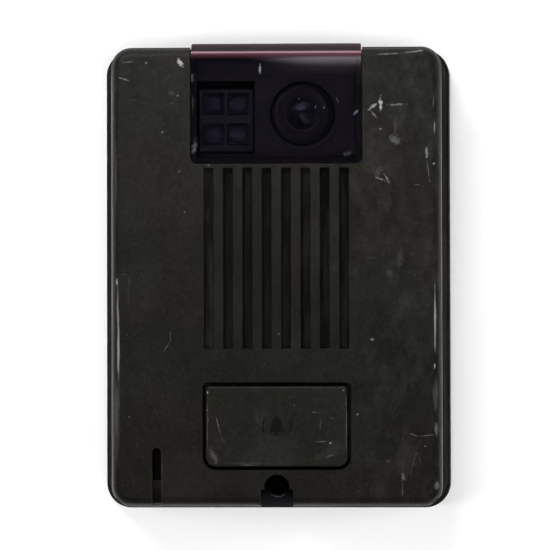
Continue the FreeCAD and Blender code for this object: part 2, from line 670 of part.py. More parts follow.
def switch_board_screws():
    seat = Y_HOLDER + HOLDER_T + 0.6 + 1.2
    return group([pan_screw(0, BUTTON_Z + sz * 7.0, seat, 2.9, 0.65, 1.5, 1.0) for sz in (-1, 1)])


def switch_body():
    """The tactile switch: a square case with four solder legs."""
    board = Y_HOLDER + HOLDER_T + 0.6
    y0 = Y_HOLDER - 2.0
    case = block(-3.0, 3.0, y0, board, BUTTON_Z - 3.0, BUTTON_Z + 3.0)
    return case.cut(rod(0, BUTTON_Z, 1.75, y0 - 1, y0 + BUTTON_TRAVEL + 0.8))


def switch_plunger():
    y0 = plunger_tip()
    top = rod(0, BUTTON_Z, 1.65, y0, Y_HOLDER - 2.0 + 0.4)
    return top.makeFillet(0.3, edges_at(top, y0))


# ---------------------------------------------------------------- camera pod
def ball():
    return Part.makeSphere(POD_R, Vec(POD_X, POD_Y, POD_Z))


def camera_pod():
    """The tilting ball: cut flat at both ends, bored for the lens, with a trunnion pin on each side."""
    trim = block(-40, 40, POD_FRONT, POD_REAR, 0, 90)
    shell = ball().common(trim)
    pins = []
    for sx in (-1, 1):
        root = Vec(POD_X + sx * 8.5, POD_Y, POD_Z)
        pins.append(Part.makeCylinder(TRUNNION_R, ARM_OUT - 8.5, root, Vec(sx, 0, 0)))
    body = fused([shell, *pins])
    bore = rod(POD_X, POD_Z, LENS_R + 0.1, POD_FRONT - 1, -19.9)
    pocket = rod(POD_X, POD_Z, 4.9, -20.5, POD_REAR + 1)
    step = rod(POD_X, POD_Z, 7.2, POD_FRONT - 1, POD_FRONT + 0.5)
    screw_holes = [rod(POD_X + sx * 5.85, POD_Z, 0.5, -18.0, POD_REAR + 1) for sx in (-1, 1)]
    return body.cut([bore, pocket, step, *screw_holes])


def lens_barrel():
    """The lens tube with a stepped, conical mouth."""
    y0, y1 = -29.9, -20.0
    barrel = rod(POD_X, POD_Z, LENS_R, y0, y1)
    mouth = Part.makeCone(4.6, 3.3, 1.6, Vec(POD_X, y0, POD_Z), ALONG_Y)
    seat = rod(POD_X, POD_Z, 3.6, y0 + 1.6, y0 + 3.4)
    through = rod(POD_X, POD_Z, 2.4, y0, y1 + 1)
    rear_seat = rod(POD_X, POD_Z, 3.2, y1 - 1.6, y1 + 1)
    return barrel.cut([mouth, seat, through, rear_seat])


def lens_ring():
    """The knurled retaining ring round the lens mouth."""
    ring = tube(POD_X, POD_Z, 7.0, LENS_R + 0.05, POD_FRONT - 0.4, POD_FRONT + 0.5)
    notches = []
    for i in range(12):
        notch = rod(POD_X + 7.1, POD_Z, 0.4, POD_FRONT - 1, POD_FRONT + 0.2)
        notch.rotate(Vec(POD_X, 0, POD_Z), ALONG_Y, i * 30)
        notches.append(notch)
    return ring.cut(notches)


def meniscus(y_seat, radius, bulge, thickness):
    """A round lens element with one domed face towards the visitor."""
    big = (radius * radius + bulge * bulge) / (2 * bulge)
    dome = Part.makeSphere(big, Vec(POD_X, y_seat - bulge + big, POD_Z))
    disc = rod(POD_X, POD_Z, radius, y_seat - bulge - 0.1, y_seat + thickness)
    return dome.common(disc)


def lens_front_glass():
    return meniscus(-27.7, 3.5, 1.1, 1.1)


def lens_rear_glass():
    return meniscus(-21.0, 3.1, 0.5, 0.9)


def camera_board():
    y0 = POD_REAR
    board = rod(POD_X, POD_Z, 6.6, y0, y0 + 1.0)
    return board.cut([rod(POD_X + sx * 5.85, POD_Z, 0.6, y0 - 1, y0 + 2) for sx in (-1, 1)])


def image_sensor():
    return block(POD_X - 2.9, POD_X + 2.9, POD_REAR - 1.3, POD_REAR, POD_Z - 2.6, POD_Z + 2.6)


def tilt_lever():
    """The pod's rear cap, with the finger lever that reaches through the back of the case."""
    y0 = POD_REAR + 1.0
    cap = rod(POD_X, POD_Z, 6.6, y0, y0 + 1.2)
    arm = block(POD_X - 1.5, POD_X + 1.5, y0, -3.6, POD_Z - 0.9, POD_Z + 0.9)
    grip = Part.makeCylinder(1.3, 3.0, Vec(POD_X - 1.5, -3.9, POD_Z), ALONG_X)
    body = fused([cap, arm, grip])
    return body.cut([rod(POD_X + sx * 5.85, POD_Z, 0.6, y0 - 1, y0 + 3) for sx in (-1, 1)])


def pod_screws():
    seat = POD_REAR + 2.2
    return group([pan_screw(POD_X + sx * 5.85, POD_Z, seat, 4.6, 0.48, 0.95, 0.6) for sx in (-1, 1)])


def camera_chassis():
    """The plate behind the window that carries the pod between two arms."""
    y0, y1 = Y_CHASSIS - 1.4, Y_CHASSIS
    plate = slab(outline(-31.5, 31.5, 33.5, 56.4, y0, 2.0), 1.4)
    arms = []
    for sx in (-1, 1):
        x0, x1 = sorted((POD_X + sx * ARM_IN, POD_X + sx * ARM_OUT))
        arms.append(block(x0, x1, POD_Y, y1, POD_Z - 4.2, POD_Z + 4.2))
        arms.append(Part.makeCylinder(4.2, x1 - x0, Vec(x0, POD_Y, POD_Z), ALONG_X))
    body = fused([plate, *arms])
    bore = Part.makeCylinder(TRUNNION_R + TRUNNION_PLAY, 40, Vec(POD_X - 20, POD_Y, POD_Z), ALONG_X)
    lever_slot = block(POD_X - 2.6, POD_X + 2.6, y0 - 1, y1 + 1, POD_Z - 4.6, POD_Z + 4.6)
    cuts = [bore, lever_slot] + [rod(x, z, 1.3, y0 - 1, y1 + 1) for x, z in CHASSIS_SCREWS]
    return body.cut(cuts)


def chassis_screws():
    return group([pan_screw(x, z, Y_CHASSIS, 6.0, 1.0, 2.0, 1.4) for x, z in CHASSIS_SCREWS])


def sensor_bezel():
    """The black mask behind the window: a plate with a round hole for the pod and a bay for the lamps."""
    y0, y1 = -27.5, -26.3
    x, z0, z1 = 24.2, 30.6, 59.2
    plate = block(-x, x, y0, y1, z0, z1)
    frame = block(-x, x, -29.3, y0 + 0.1, z0, z1).cut(block(-x + 1, x - 1, -31, y0 + 1, z0 + 1, z1 + 1))
    shelf_side = [(y0 + 0.2, 55.0), (-29.0, 59.2), (-29.0, 60.0), (y1, 60.0), (y1, 55.0)]
    shelf_face = Part.Face(Part.makePolygon([Vec(-x, y, z) for y, z in shelf_side + shelf_side[:1]]))
    shelf = shelf_face.extrude(Vec(2 * x, 0, 0))
    collar = tube(POD_X, POD_Z, 10.1, 9.0, y0 - 0.7, y1)
    legs = [
        block(sx * 23.2 - 1.0, sx * 23.2 + 1.0, y1 - 0.2, Y_CHASSIS - 1.4, z - 1.2, z + 1.2)
        for sx in (-1, 1)
        for z in (44.0, 49.5)
    ]
    body = fused([plate, frame, shelf, collar, *legs])
    bay = block(-22.0, -6.0, y0 - 3, y1 + 1, 34.2, 54.5)
    return body.cut([rod(POD_X, POD_Z, 9.0, y0 - 3, y1 + 1), bay])


LAMP_X, LAMP_Z = -14.0, 43.8
LAMP_SPOTS = [(LAMP_X + sx * 3.4, LAMP_Z + sz * 4.2) for sx in (-1, 1) for sz in (-1, 1)]
LAMP_BOARD_SCREWS = [(LAMP_X + sx * 5.6, LAMP_Z) for sx in (-1, 1)]
LAMP_CUP = 3.1  # half width of the square cup round each lamp


def lamp_holder():
    """The lamp tray: each lamp stands in a square cup that narrows towards its base."""
    front, rear = -28.4, -24.4
    body = block(-21.6, -6.4, front, rear, 34.6, 52.2)
    body = body.makeChamfer(0.5, edges_at(body, front))
    legs = [block(-15.2, -12.8, rear - 0.2, Y_CHASSIS - 1.4, z - 0.9, z + 0.9) for z in (35.6, 51.2)]
    body = fused([body, *legs])
    cuts = [rod(x, z, 2.55, -30, -24) for x, z in LAMP_SPOTS]
    cuts += [rod(x, z, 3.0, -25.4, -24) for x, z in LAMP_SPOTS]
    cuts += [rod(x, z, 0.7, -26.6, -24) for x, z in LAMP_BOARD_SCREWS]
    for x, z in LAMP_SPOTS:
        wide, narrow = LAMP_CUP, LAMP_CUP - 0.45
        mouth = outline(x - wide, x + wide, z - wide, z + wide, front - 0.01, 0.8)
        base = outline(x - narrow, x + narrow, z - narrow, z + narrow, front + 1.3, 0.8)
        cuts.append(loft(base, mouth))
    return body.cut(cuts)


def lamp_leds():
    """Four round lamp LEDs that light the visitor's face."""
    leds = []
    for x, z in LAMP_SPOTS:
        stem = rod(x, z, 2.5, -26.6, -24.4)
        dome = Part.makeSphere(2.5, Vec(x, -26.6, z)).common(block(x - 3, x + 3, -30, -26, z - 3, z + 3))
        flange = rod(x, z, 2.9, -25.4, -24.4)
        leds.append(fused([stem, dome, flange]))
    return group(leds)


def lamp_board():
    board = block(-21.6, -6.4, -24.4, -23.2, 36.7, 50.1)
    return board.cut([rod(x, z, 0.9, -26, -22) for x, z in LAMP_BOARD_SCREWS])


def lamp_board_screws():
    return group([pan_screw(x, z, -23.2, 3.2, 0.65, 1.4, 1.0) for x, z in LAMP_BOARD_SCREWS])


# ---------------------------------------------------------------- main board
def main_board():
    y0 = Y_BOARD - BOARD_T
    board = slab(outline(-39.5, 39.5, -46.0, 28.0, y0, 1.0), BOARD_T)
    return board.cut([rod(x, z, 1.5, y0 - 1, Y_BOARD + 1) for x, z in BOARD_SCREWS])


def board_screws():
    return group([pan_screw(x, z, Y_BOARD, 6.5, 1.0, 2.1, 1.4) for x, z in BOARD_SCREWS])


def board_chips():
    """The flat packages on the rear of the board."""
    spots = [(-22.0, 8.0, 7.0, 7.0), (8.0, 14.0, 5.0, 4.0), (22.0, -6.0, 4.0, 3.0), (-6.0, 2.0, 3.0, 2.5)]
    chips = []
    for x, z, half_x, half_z in spots:
        chip = block(x - half_x, x + half_x, Y_BOARD, Y_BOARD + 1.6, z - half_z, z + half_z)
        chips.append(chip.makeChamfer(0.25, edges_at(chip, Y_BOARD + 1.6)))
    return group(chips)


def capacitors():
    """Upright electrolytic cans."""
    cans = []
    for x, z, r in ((26.0, 12.0, 3.1), (19.0, 20.0, 2.5), (-25.0, -14.0, 3.1), (-28.0, -24.0, 2.5)):
        can = rod(x, z, r, Y_BOARD, Y_BOARD + 5.0)
        cans.append(can.makeFillet(0.4, edges_at(can, Y_BOARD + 5.0)))
    return group(cans)


def line_transformer():
    """The coupling transformer for the two-wire line: a core with a wound bobbin."""
    x, z = 22.0, -22.0
    core = block(x - 5.5, x + 5.5, Y_BOARD, Y_BOARD + 5.2, z - 4.5, z + 4.5)
    core = core.cut(block(x - 3.2, x + 3.2, Y_BOARD + 1.0, Y_BOARD + 6, z - 5, z - 1.4))
    core = core.cut(block(x - 3.2, x + 3.2, Y_BOARD + 1.0, Y_BOARD + 6, z + 1.4, z + 5))
    return core


# Plug headers of the speaker, microphone, camera and switch: (x, z)
CONNECTORS = [(30.0, 4.0), (-30.0, -33.0), (POD_X, 24.6), (12.0, -34.0)]


def board_connectors():
    """The white plug headers on the front of the board."""
    y1 = Y_BOARD - BOARD_T
    headers = []
    for x, z in CONNECTORS:
        shell = block(x - 4.0, x + 4.0, y1 - 4.6, y1, z - 2.4, z + 2.4)
        shell = shell.cut(block(x - 3.2, x + 3.2, y1 - 5.0, y1 - 1.2, z - 1.6, z + 1.6))
        headers.append(shell)
    return group(headers)


def terminal_block():
    """The two-pole screw terminal that the line wires join, in the opening of the back wall."""
    y1 = -6.4
    body = block(-12.5, 12.5, Y_BOARD, y1, -24.0, -12.0)
    cuts = []
    for x in (-6.0, 6.0):
        cuts.append(block(x - 4.4, x + 4.4, y1 - 2.2, y1 + 1, -22.4, -13.6))
        cuts.append(block(x - 3.2, x + 3.2, y1 - 2.2, y1 + 1, -26.0, -22.0))
        cuts.append(rod(x, -18.0, 1.6, y1 - 5.0, y1))
    return body.cut(cuts)


def terminal_plates():
    """The square clamping washers."""
    plates = []
    for x in (-6.0, 6.0):
        plate = block(x - 4.0, x + 4.0, -7.6, -6.8, -22.0, -14.0)
        plates.append(plate.cut(rod(x, -18.0, 1.7, -9, -5)))
    return group(plates)


def terminal_screws():
    return group([pan_screw(x, -18.0, -6.8, 4.2, 1.5, 3.1, 1.9) for x in (-6.0, 6.0)])


# ---------------------------------------------------------------- microphone
def mic_mesh():
    return rod(MIC_X, MIC_Z, 4.2, Y_FACE_IN, Y_FACE_IN + 0.3)


def mic_boot():
    """The rubber boot that holds the microphone against its sound slot."""
    y0, y1 = Y_FACE_IN + 0.3, -25.6
    body = rod(MIC_X, MIC_Z, 4.25, y0, y1)
    lip = rod(MIC_X, MIC_Z, 4.45, -26.0, y1)
    body = fused([body, lip])
    return body.cut([rod(MIC_X, MIC_Z, 3.0, y0 + 1.0, y1 + 1), rod(MIC_X, MIC_Z, 1.1, y0 - 1, y0 + 2)])


def mic_capsule():
    y0 = Y_FACE_IN + 1.3
    can = rod(MIC_X, MIC_Z, 2.95, y0, y0 + 2.7)
    return can.makeFillet(0.25, edges_at(can, y0)).cut(rod(MIC_X, MIC_Z, 0.6, y0 - 1, y0 + 0.5))


# ---------------------------------------------------------------- leads
def speaker_leads():
    """The two leads from the speaker's tags to the board."""
    leads = []
    board = Y_BOARD - BOARD_T - 4.6
    for dz in (-0.9, 0.9):
        leads.append(
            wire_lead(
                [
                    (23.6, Y_SPEAKER + 1.6, SPEAKER_Z + dz),
                    (26.5, Y_SPEAKER + 1.6, SPEAKER_Z + dz),
                    (30.0, Y_SPEAKER + 4.6, 4.0 + dz),
                    (30.0, board, 4.0 + dz),
                ],
                0.55,
                1.2,
            )
        )
    return group(leads)


def mic_leads():
    """The two leads from the microphone to the board."""
    leads = []
    board = Y_BOARD - BOARD_T - 4.6
    for dx in (-0.9, 0.9):
        leads.append(
            wire_lead(
                [
                    (MIC_X + dx, -26.6, MIC_Z),
                    (MIC_X + dx, -22.6, MIC_Z),
                    (-30.0 + dx, -20.6, -35.0),
                    (-30.0 + dx, board, -33.0),
                ],
                0.5,
                1.0,
            )
        )
    return group(leads)


def camera_flex():
    """The flat cable from the pod's board to the main board, with a slack bend for the tilt."""
    half, thick = 2.6, 0.25
    start = POD_REAR + 0.35
    upper = [(start, POD_Z - 6.6), (start, 36.4), (start - 2.4, 33.4)]
    line = upper + [(-19.6, 29.4), (-19.6, 25.6), (-15.8, 24.6)]
    ring = line + shifted(line, -thick)[::-1]
    face = Part.Face(Part.makePolygon([Vec(POD_X - half, y, z) for y, z in ring + ring[:1]]))
    return face.extrude(Vec(2 * half, 0, 0))


# ---------------------------------------------------------------- fastening to the wall
def case_screws():
    return group([pan_screw(x, z, -10.6, 11.0, 1.25, 2.8, 2.0) for x, z in CASE_SCREWS])


def mounting_screw():
    """The one screw that holds the station to its wall plate. Its head faces the visitor."""
    return pan_screw(0, SCREW_Z, Y_NOTCH - 0.05, -Y_NOTCH - 0.6, SCREW_R, 2.75, 2.2, towards=-1)


def screw_retainer():
    """The push-on washer that keeps the screw in the station."""
    return tube(0, SCREW_Z, 3.0, SCREW_R, -4.5, -3.8)


def wall_bracket():
    """The pressed steel wall plate, with two top hooks, a tapped collar and the wall screw holes."""
    t = -Y_BRACKET
    plate = slab(outline(-PLATE_HALF_W, PLATE_HALF_W, PLATE_BOTTOM, PLATE_TOP, Y_BRACKET, 4.0), t)
    ribs = [block(x - 0.8, x + 0.8, Y_BRACKET - 0.8, Y_BRACKET, -44.0, 44.0) for x in (-30.0, 30.0)]
    collar = rod(0, SCREW_Z, 2.7, -3.5, 0)
    hooks = []
    for sx in (-1, 1):
        x0, x1 = sx * HOOK_X - HOOK_HALF_W, sx * HOOK_X + HOOK_HALF_W
        hooks.append(block(x0, x1, -9.3, 0, PLATE_TOP - t, PLATE_TOP))
        hooks.append(block(x0, x1, -9.3, -8.1, PLATE_TOP - t, PLATE_TOP + 1.4))
    body = fused([plate, collar, *ribs, *hooks])
    cuts = [rod(0, SCREW_Z, SCREW_R + 0.15, -6, 1)]
    cuts.append(slab(outline(-21.0, 21.0, -31.0, 29.0, Y_BRACKET - 1, 5.0), t + 2))
    cuts += [rod(0, sz * WALL_SCREW_PITCH / 2, WALL_SCREW_R, Y_BRACKET - 1, 1) for sz in (-1, 1)]
    return body.cut(cuts)


# ---------------------------------------------------------------- export
NODES = {
    "wall_bracket": wall_bracket,
    "rear_case": rear_case,
    "front_cover": front_cover,
    "case_gasket": case_gasket,
    "case_screws": case_screws,
    "mounting_screw": mounting_screw,
    "screw_retainer": screw_retainer,
    "camera_window": camera_window,
    "window_tape": window_tape,
    "sensor_bezel": sensor_bezel,
    "speaker_cloth": speaker_cloth,
    "speaker_gasket": speaker_gasket,
    "speaker_frame": speaker_frame,
    "speaker_cone": speaker_cone,
    "speaker_magnet": speaker_magnet,
    "speaker_yoke": speaker_yoke,
    "speaker_screws": speaker_screws,
    "speaker_leads": speaker_leads,
    "button_cap": button_cap,
    "button_springs": button_springs,
    "button_seal": button_seal,
    "switch_holder": switch_holder,
    "holder_screws": holder_screws,
    "switch_board": switch_board,
    "switch_board_screws": switch_board_screws,
    "switch_body": switch_body,
    "switch_plunger": switch_plunger,
    "camera_pod": camera_pod,
    "lens_barrel": lens_barrel,
    "lens_ring": lens_ring,
    "lens_front_glass": lens_front_glass,
    "lens_rear_glass": lens_rear_glass,
    "camera_board": camera_board,
    "image_sensor": image_sensor,
    "tilt_lever": tilt_lever,
    "pod_screws": pod_screws,
    "camera_chassis": camera_chassis,
    "chassis_screws": chassis_screws,
    "camera_flex": camera_flex,
    "lamp_holder": lamp_holder,
    "lamp_leds": lamp_leds,
    "lamp_board": lamp_board,
    "lamp_board_screws": lamp_board_screws,
    "main_board": main_board,
    "board_screws": board_screws,
    "board_chips": board_chips,
    "capacitors": capacitors,
    "line_transformer": line_transformer,
    "board_connectors": board_connectors,
    "terminal_block": terminal_block,
    "terminal_plates": terminal_plates,
    "terminal_screws": terminal_screws,
    "mic_mesh": mic_mesh,
    "mic_boot": mic_boot,
    "mic_capsule": mic_capsule,
    "mic_leads": mic_leads,
}


def main():
    os.makedirs("parts", exist_ok=True)
    for name, make in NODES.items():
        shape = make()
        shape.exportStep(f"parts/{name}.step")
        count = len(shape.Solids)
        print(f"{name}: {count} solid(s), {shape.Volume:.1f} mm3, valid {shape.isValid()}")


main()
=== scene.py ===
"""Looks, light and camera for the video door station."""

import json
import math

import bpy
from mathutils import Matrix, Vector


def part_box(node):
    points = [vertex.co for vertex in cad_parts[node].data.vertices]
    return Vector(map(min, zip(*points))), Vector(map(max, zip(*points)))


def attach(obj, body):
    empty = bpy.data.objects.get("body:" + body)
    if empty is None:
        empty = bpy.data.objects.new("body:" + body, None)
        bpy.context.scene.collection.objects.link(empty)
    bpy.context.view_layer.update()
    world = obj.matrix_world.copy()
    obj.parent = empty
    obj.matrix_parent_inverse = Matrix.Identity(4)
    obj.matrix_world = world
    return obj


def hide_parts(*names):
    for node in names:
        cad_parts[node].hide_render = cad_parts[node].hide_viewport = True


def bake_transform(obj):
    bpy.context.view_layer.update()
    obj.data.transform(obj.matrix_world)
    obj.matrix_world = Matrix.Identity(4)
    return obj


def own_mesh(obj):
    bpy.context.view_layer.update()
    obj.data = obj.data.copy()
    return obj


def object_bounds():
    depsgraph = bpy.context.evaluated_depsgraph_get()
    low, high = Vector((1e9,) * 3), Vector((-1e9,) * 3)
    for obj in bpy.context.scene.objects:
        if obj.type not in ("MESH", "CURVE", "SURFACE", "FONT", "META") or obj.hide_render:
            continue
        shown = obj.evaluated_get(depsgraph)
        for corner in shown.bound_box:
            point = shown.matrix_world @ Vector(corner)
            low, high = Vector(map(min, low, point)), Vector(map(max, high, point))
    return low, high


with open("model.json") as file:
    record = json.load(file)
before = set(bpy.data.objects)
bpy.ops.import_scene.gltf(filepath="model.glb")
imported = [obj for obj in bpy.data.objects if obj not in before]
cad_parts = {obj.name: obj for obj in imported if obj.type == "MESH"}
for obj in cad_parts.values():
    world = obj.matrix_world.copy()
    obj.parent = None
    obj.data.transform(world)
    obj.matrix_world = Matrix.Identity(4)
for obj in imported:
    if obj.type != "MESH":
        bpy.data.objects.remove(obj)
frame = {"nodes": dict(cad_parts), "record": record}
cad_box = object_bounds()
NODES = frame["nodes"]
MM = 0.001

# Places on the housing, in metres. In a pair, a look sets in at the first and is full at the second.
LIP_FRONT, LIP_REAR = -0.03055, -0.02985  # y of the thin lip round the cover's rim
LIP_FADE = 0.0001
BEVEL_FRONT, BEVEL_REAR = -0.0322, -0.0308  # y of the cover's rounded front edge
FRONT_MARKING = (-0.0295, -0.0305)  # y
SIDE_LOOK = (-0.0300, -0.0296)  # y
NOTCH_REACH = (0.0050, -0.0535)  # half width of the fixing screw's notch, and its top
# painted light: heights over which the screw notch turns paler towards its open foot
NOTCH_FOOT_LIGHT = (-0.0585, -0.0622)  # z
GROOVE_LINE = (-0.0329, -0.0464, -0.0556)  # x of the microphone groove, and the ends of its deep part
GRILLE_SIDE, GRILLE_TOP, GRILLE_FADE = 0.0220, 0.0305, 0.0005  # half width, top, and how softly both end

# Heights on the camera window, which bends back over the housing's top edge, and of the painted glow, painted
# highlight line and painted reflections on it
WINDOW_BEND = (0.0619, 0.0623)
PAINTED_HIGHLIGHT_LINE = (0.06145, 0.06170)
PAINTED_GLOW_TOP = 0.0617
TOP_STRIP = (0.0631, 0.0648)
REFLECTION_FOOT, REFLECTION_TOP = (0.0530, 0.0592), (0.0612, 0.0596)
LEFT_TO_RIGHT = (-0.012, 0.014)  # x over which the reflection on the window grows

# Stage and camera
ROOM_LIGHT = 0.02
HONEYCOMB = 70.0  # degrees: a grid on each softbox keeps its light off the floor
STAGE_SIZE = 6.0
WALL_GAP = 0.0006  # from the wall plate to the backdrop
FLOOR_Z = -1.35
CENTRE = Vector((0, 0, 0))
FAR_FROM_FACE = 0.600
LENS, SENSOR = 143.5, 36.0  # mm
VIEW_RIGHT, VIEW_UP, ROLL = math.radians(1.2), math.radians(-0.85), math.radians(0.135)


# ---------------------------------------------------------------- node tree shorthand
class Look:
    """A material under construction. Its methods add nodes and return their main output."""

    def __init__(self, name):
        self.material = bpy.data.materials.new(name)
        self.material.use_nodes = True
        self.tree = self.material.node_tree
        self.tree.nodes.clear()
        self.output = self.add("ShaderNodeOutputMaterial")
        self.place = self.add("ShaderNodeTexCoord").outputs["Object"]
        split = self.add("ShaderNodeSeparateXYZ", Vector=self.place)
        self.x, self.y, self.z = split.outputs

    def add(self, kind, *values, **inputs):
        """A node of that kind. values fill its first inputs and inputs fill the named ones."""
        node = self.tree.nodes.new(kind)
        for socket, value in zip(node.inputs, values):
            self.feed(socket, value)
        for name, value in inputs.items():
            self.feed(node.inputs[name.replace("_", " ")], value)
        return node

    def feed(self, socket, value):
        """Link a socket to an input, or set the input to a constant. None leaves it alone."""
        if value is None:
            return
        if isinstance(value, bpy.types.NodeSocket):
            self.tree.links.new(value, socket)
        elif socket.type == "RGBA":
            socket.default_value = (*value, 1.0) if len(value) == 3 else value
        else:
            socket.default_value = value

    def maths(self, operation, a, b=None):
        node = self.add("ShaderNodeMath", a, b)
        node.operation = operation
        return node.outputs[0]

    def chain(self, operation, values):
        """The operation carried through all the values, from the first on."""
        total = values[0]
        for value in values[1:]:
            total = self.maths(operation, total, value)
        return total

    def product(self, *values):
        return self.chain("MULTIPLY", values)

    def sum(self, *values):
        return self.chain("ADD", values)

    def most(self, *values):
        return self.chain("MAXIMUM", values)

    def inverse(self, value):
        """0 where value is 1, and 1 where it is 0."""
        return self.maths("SUBTRACT", 1.0, value)

    def distance(self, value, centre=0.0):
        """How far value is from centre, either way."""
        if centre:
            value = self.maths("SUBTRACT", value, centre)
        return self.maths("ABSOLUTE", value)

    def span(self, value, low, high, to_low=0.0, to_high=1.0, smooth=True):
        """value from low..high taken to to_low..to_high, and held there outside."""
        node = self.add("ShaderNodeMapRange", value, low, high, to_low, to_high)
        node.interpolation_type = "SMOOTHSTEP" if smooth else "LINEAR"
        return node.outputs[0]

    def mix(self, factor, a, b):
        """Colour a where factor is 0, and b where it is 1."""
        node = self.tree.nodes.new("ShaderNodeMix")
        node.data_type = "RGBA"
        self.feed(node.inputs[0], factor)
        self.feed(node.inputs[6], a)  # 6, 7 and output 2 are the node's colour sockets
        self.feed(node.inputs[7], b)
        return node.outputs[2]

    def noise(self, scale, detail=2.0, roughness=0.5, at=None):
        """Soft noise, about 0..1, with scale waves to the metre."""
        place = at or self.place
        node = self.add("ShaderNodeTexNoise", Vector=place, Scale=scale, Detail=detail, Roughness=roughness)
        return node.outputs["Fac"]

    def cells(self, scale, feature="F1", at=None, output="Distance"):
        """Irregular cells, scale of them to the metre."""
        node = self.tree.nodes.new("ShaderNodeTexVoronoi")
        node.feature = feature
        self.feed(node.inputs["Vector"], at or self.place)
        self.feed(node.inputs["Scale"], scale)
        return node.outputs[output]

    def cell_values(self, scale):
        """A value of its own, 0..1, for each cell."""
        return self.add("ShaderNodeSeparateColor", Color=self.cells(scale, output="Color")).outputs[0]

    def stretched(self, x, y, z, turn=(0, 0, 0)):
        """The place, with each axis scaled, after a turn in degrees."""
        turned = [math.radians(angle) for angle in turn]
        return self.add("ShaderNodeMapping", Vector=self.place, Rotation=turned, Scale=(x, y, z)).outputs[0]

    def specks(self, scale, size, share):
        """Small round dots, in that share of the cells."""
        near = self.span(self.cells(scale), size, size * 0.5)
        return self.product(near, self.maths("LESS_THAN", self.cell_values(scale), share))

    def hairlines(self, scale, turn, keep):
        """Long thin scratches, turned by that many degrees and broken up so that only some stretches stay."""
        bent = self.stretched(1.0, 1.0, 0.22, (0, turn, 0))
        line = self.span(self.cells(scale, "DISTANCE_TO_EDGE", at=bent), 0.010, 0.003)
        gate = self.span(self.noise(scale * 0.9), keep, keep + 0.05)
        return self.product(line, gate)

    def edges(self, radius):
        """About 1 on edges and corners and 0 on flats, as wide as radius."""
        bevel = self.add("ShaderNodeBevel", Radius=radius)
        bevel.samples = 4
        geometry = self.add("ShaderNodeNewGeometry")
        dot = self.add("ShaderNodeVectorMath", bevel.outputs[0], geometry.outputs["Normal"])
        dot.operation = "DOT_PRODUCT"
        return self.span(dot.outputs["Value"], 0.995, 0.80)

    def bump(self, height, distance, strength, normal=None):
        node = self.add("ShaderNodeBump", Height=height, Distance=distance, Strength=strength, Normal=normal)
        return node.outputs[0]

    def blended(self, share, first, second):
        """The first shader where share is 0, and the second where it is 1."""
        return self.add("ShaderNodeMixShader", share, first, second).outputs[0]

    def principled(self, **inputs):
        return self.add("ShaderNodeBsdfPrincipled", **inputs).outputs[0]

    def finished(self, surface):
        """The material, with that shader as its surface."""
        self.feed(self.output.inputs["Surface"], surface)
        return self.material


def srgb(red, green, blue):
    """A linear colour from 0..255 screen values."""
    return tuple(
        v / 12.92 if v <= 0.04045 else ((v + 0.055) / 1.055) ** 2.4
        for v in (red / 255, green / 255, blue / 255)
    )


def grey(value, tint=(1.0, 1.0, 1.0)):
    """value times the tint, or a plain grey without one."""
    return tuple(value * t for t in tint)


def tinted(colour, tint):
    return tuple(c * t for c, t in zip(colour, tint))
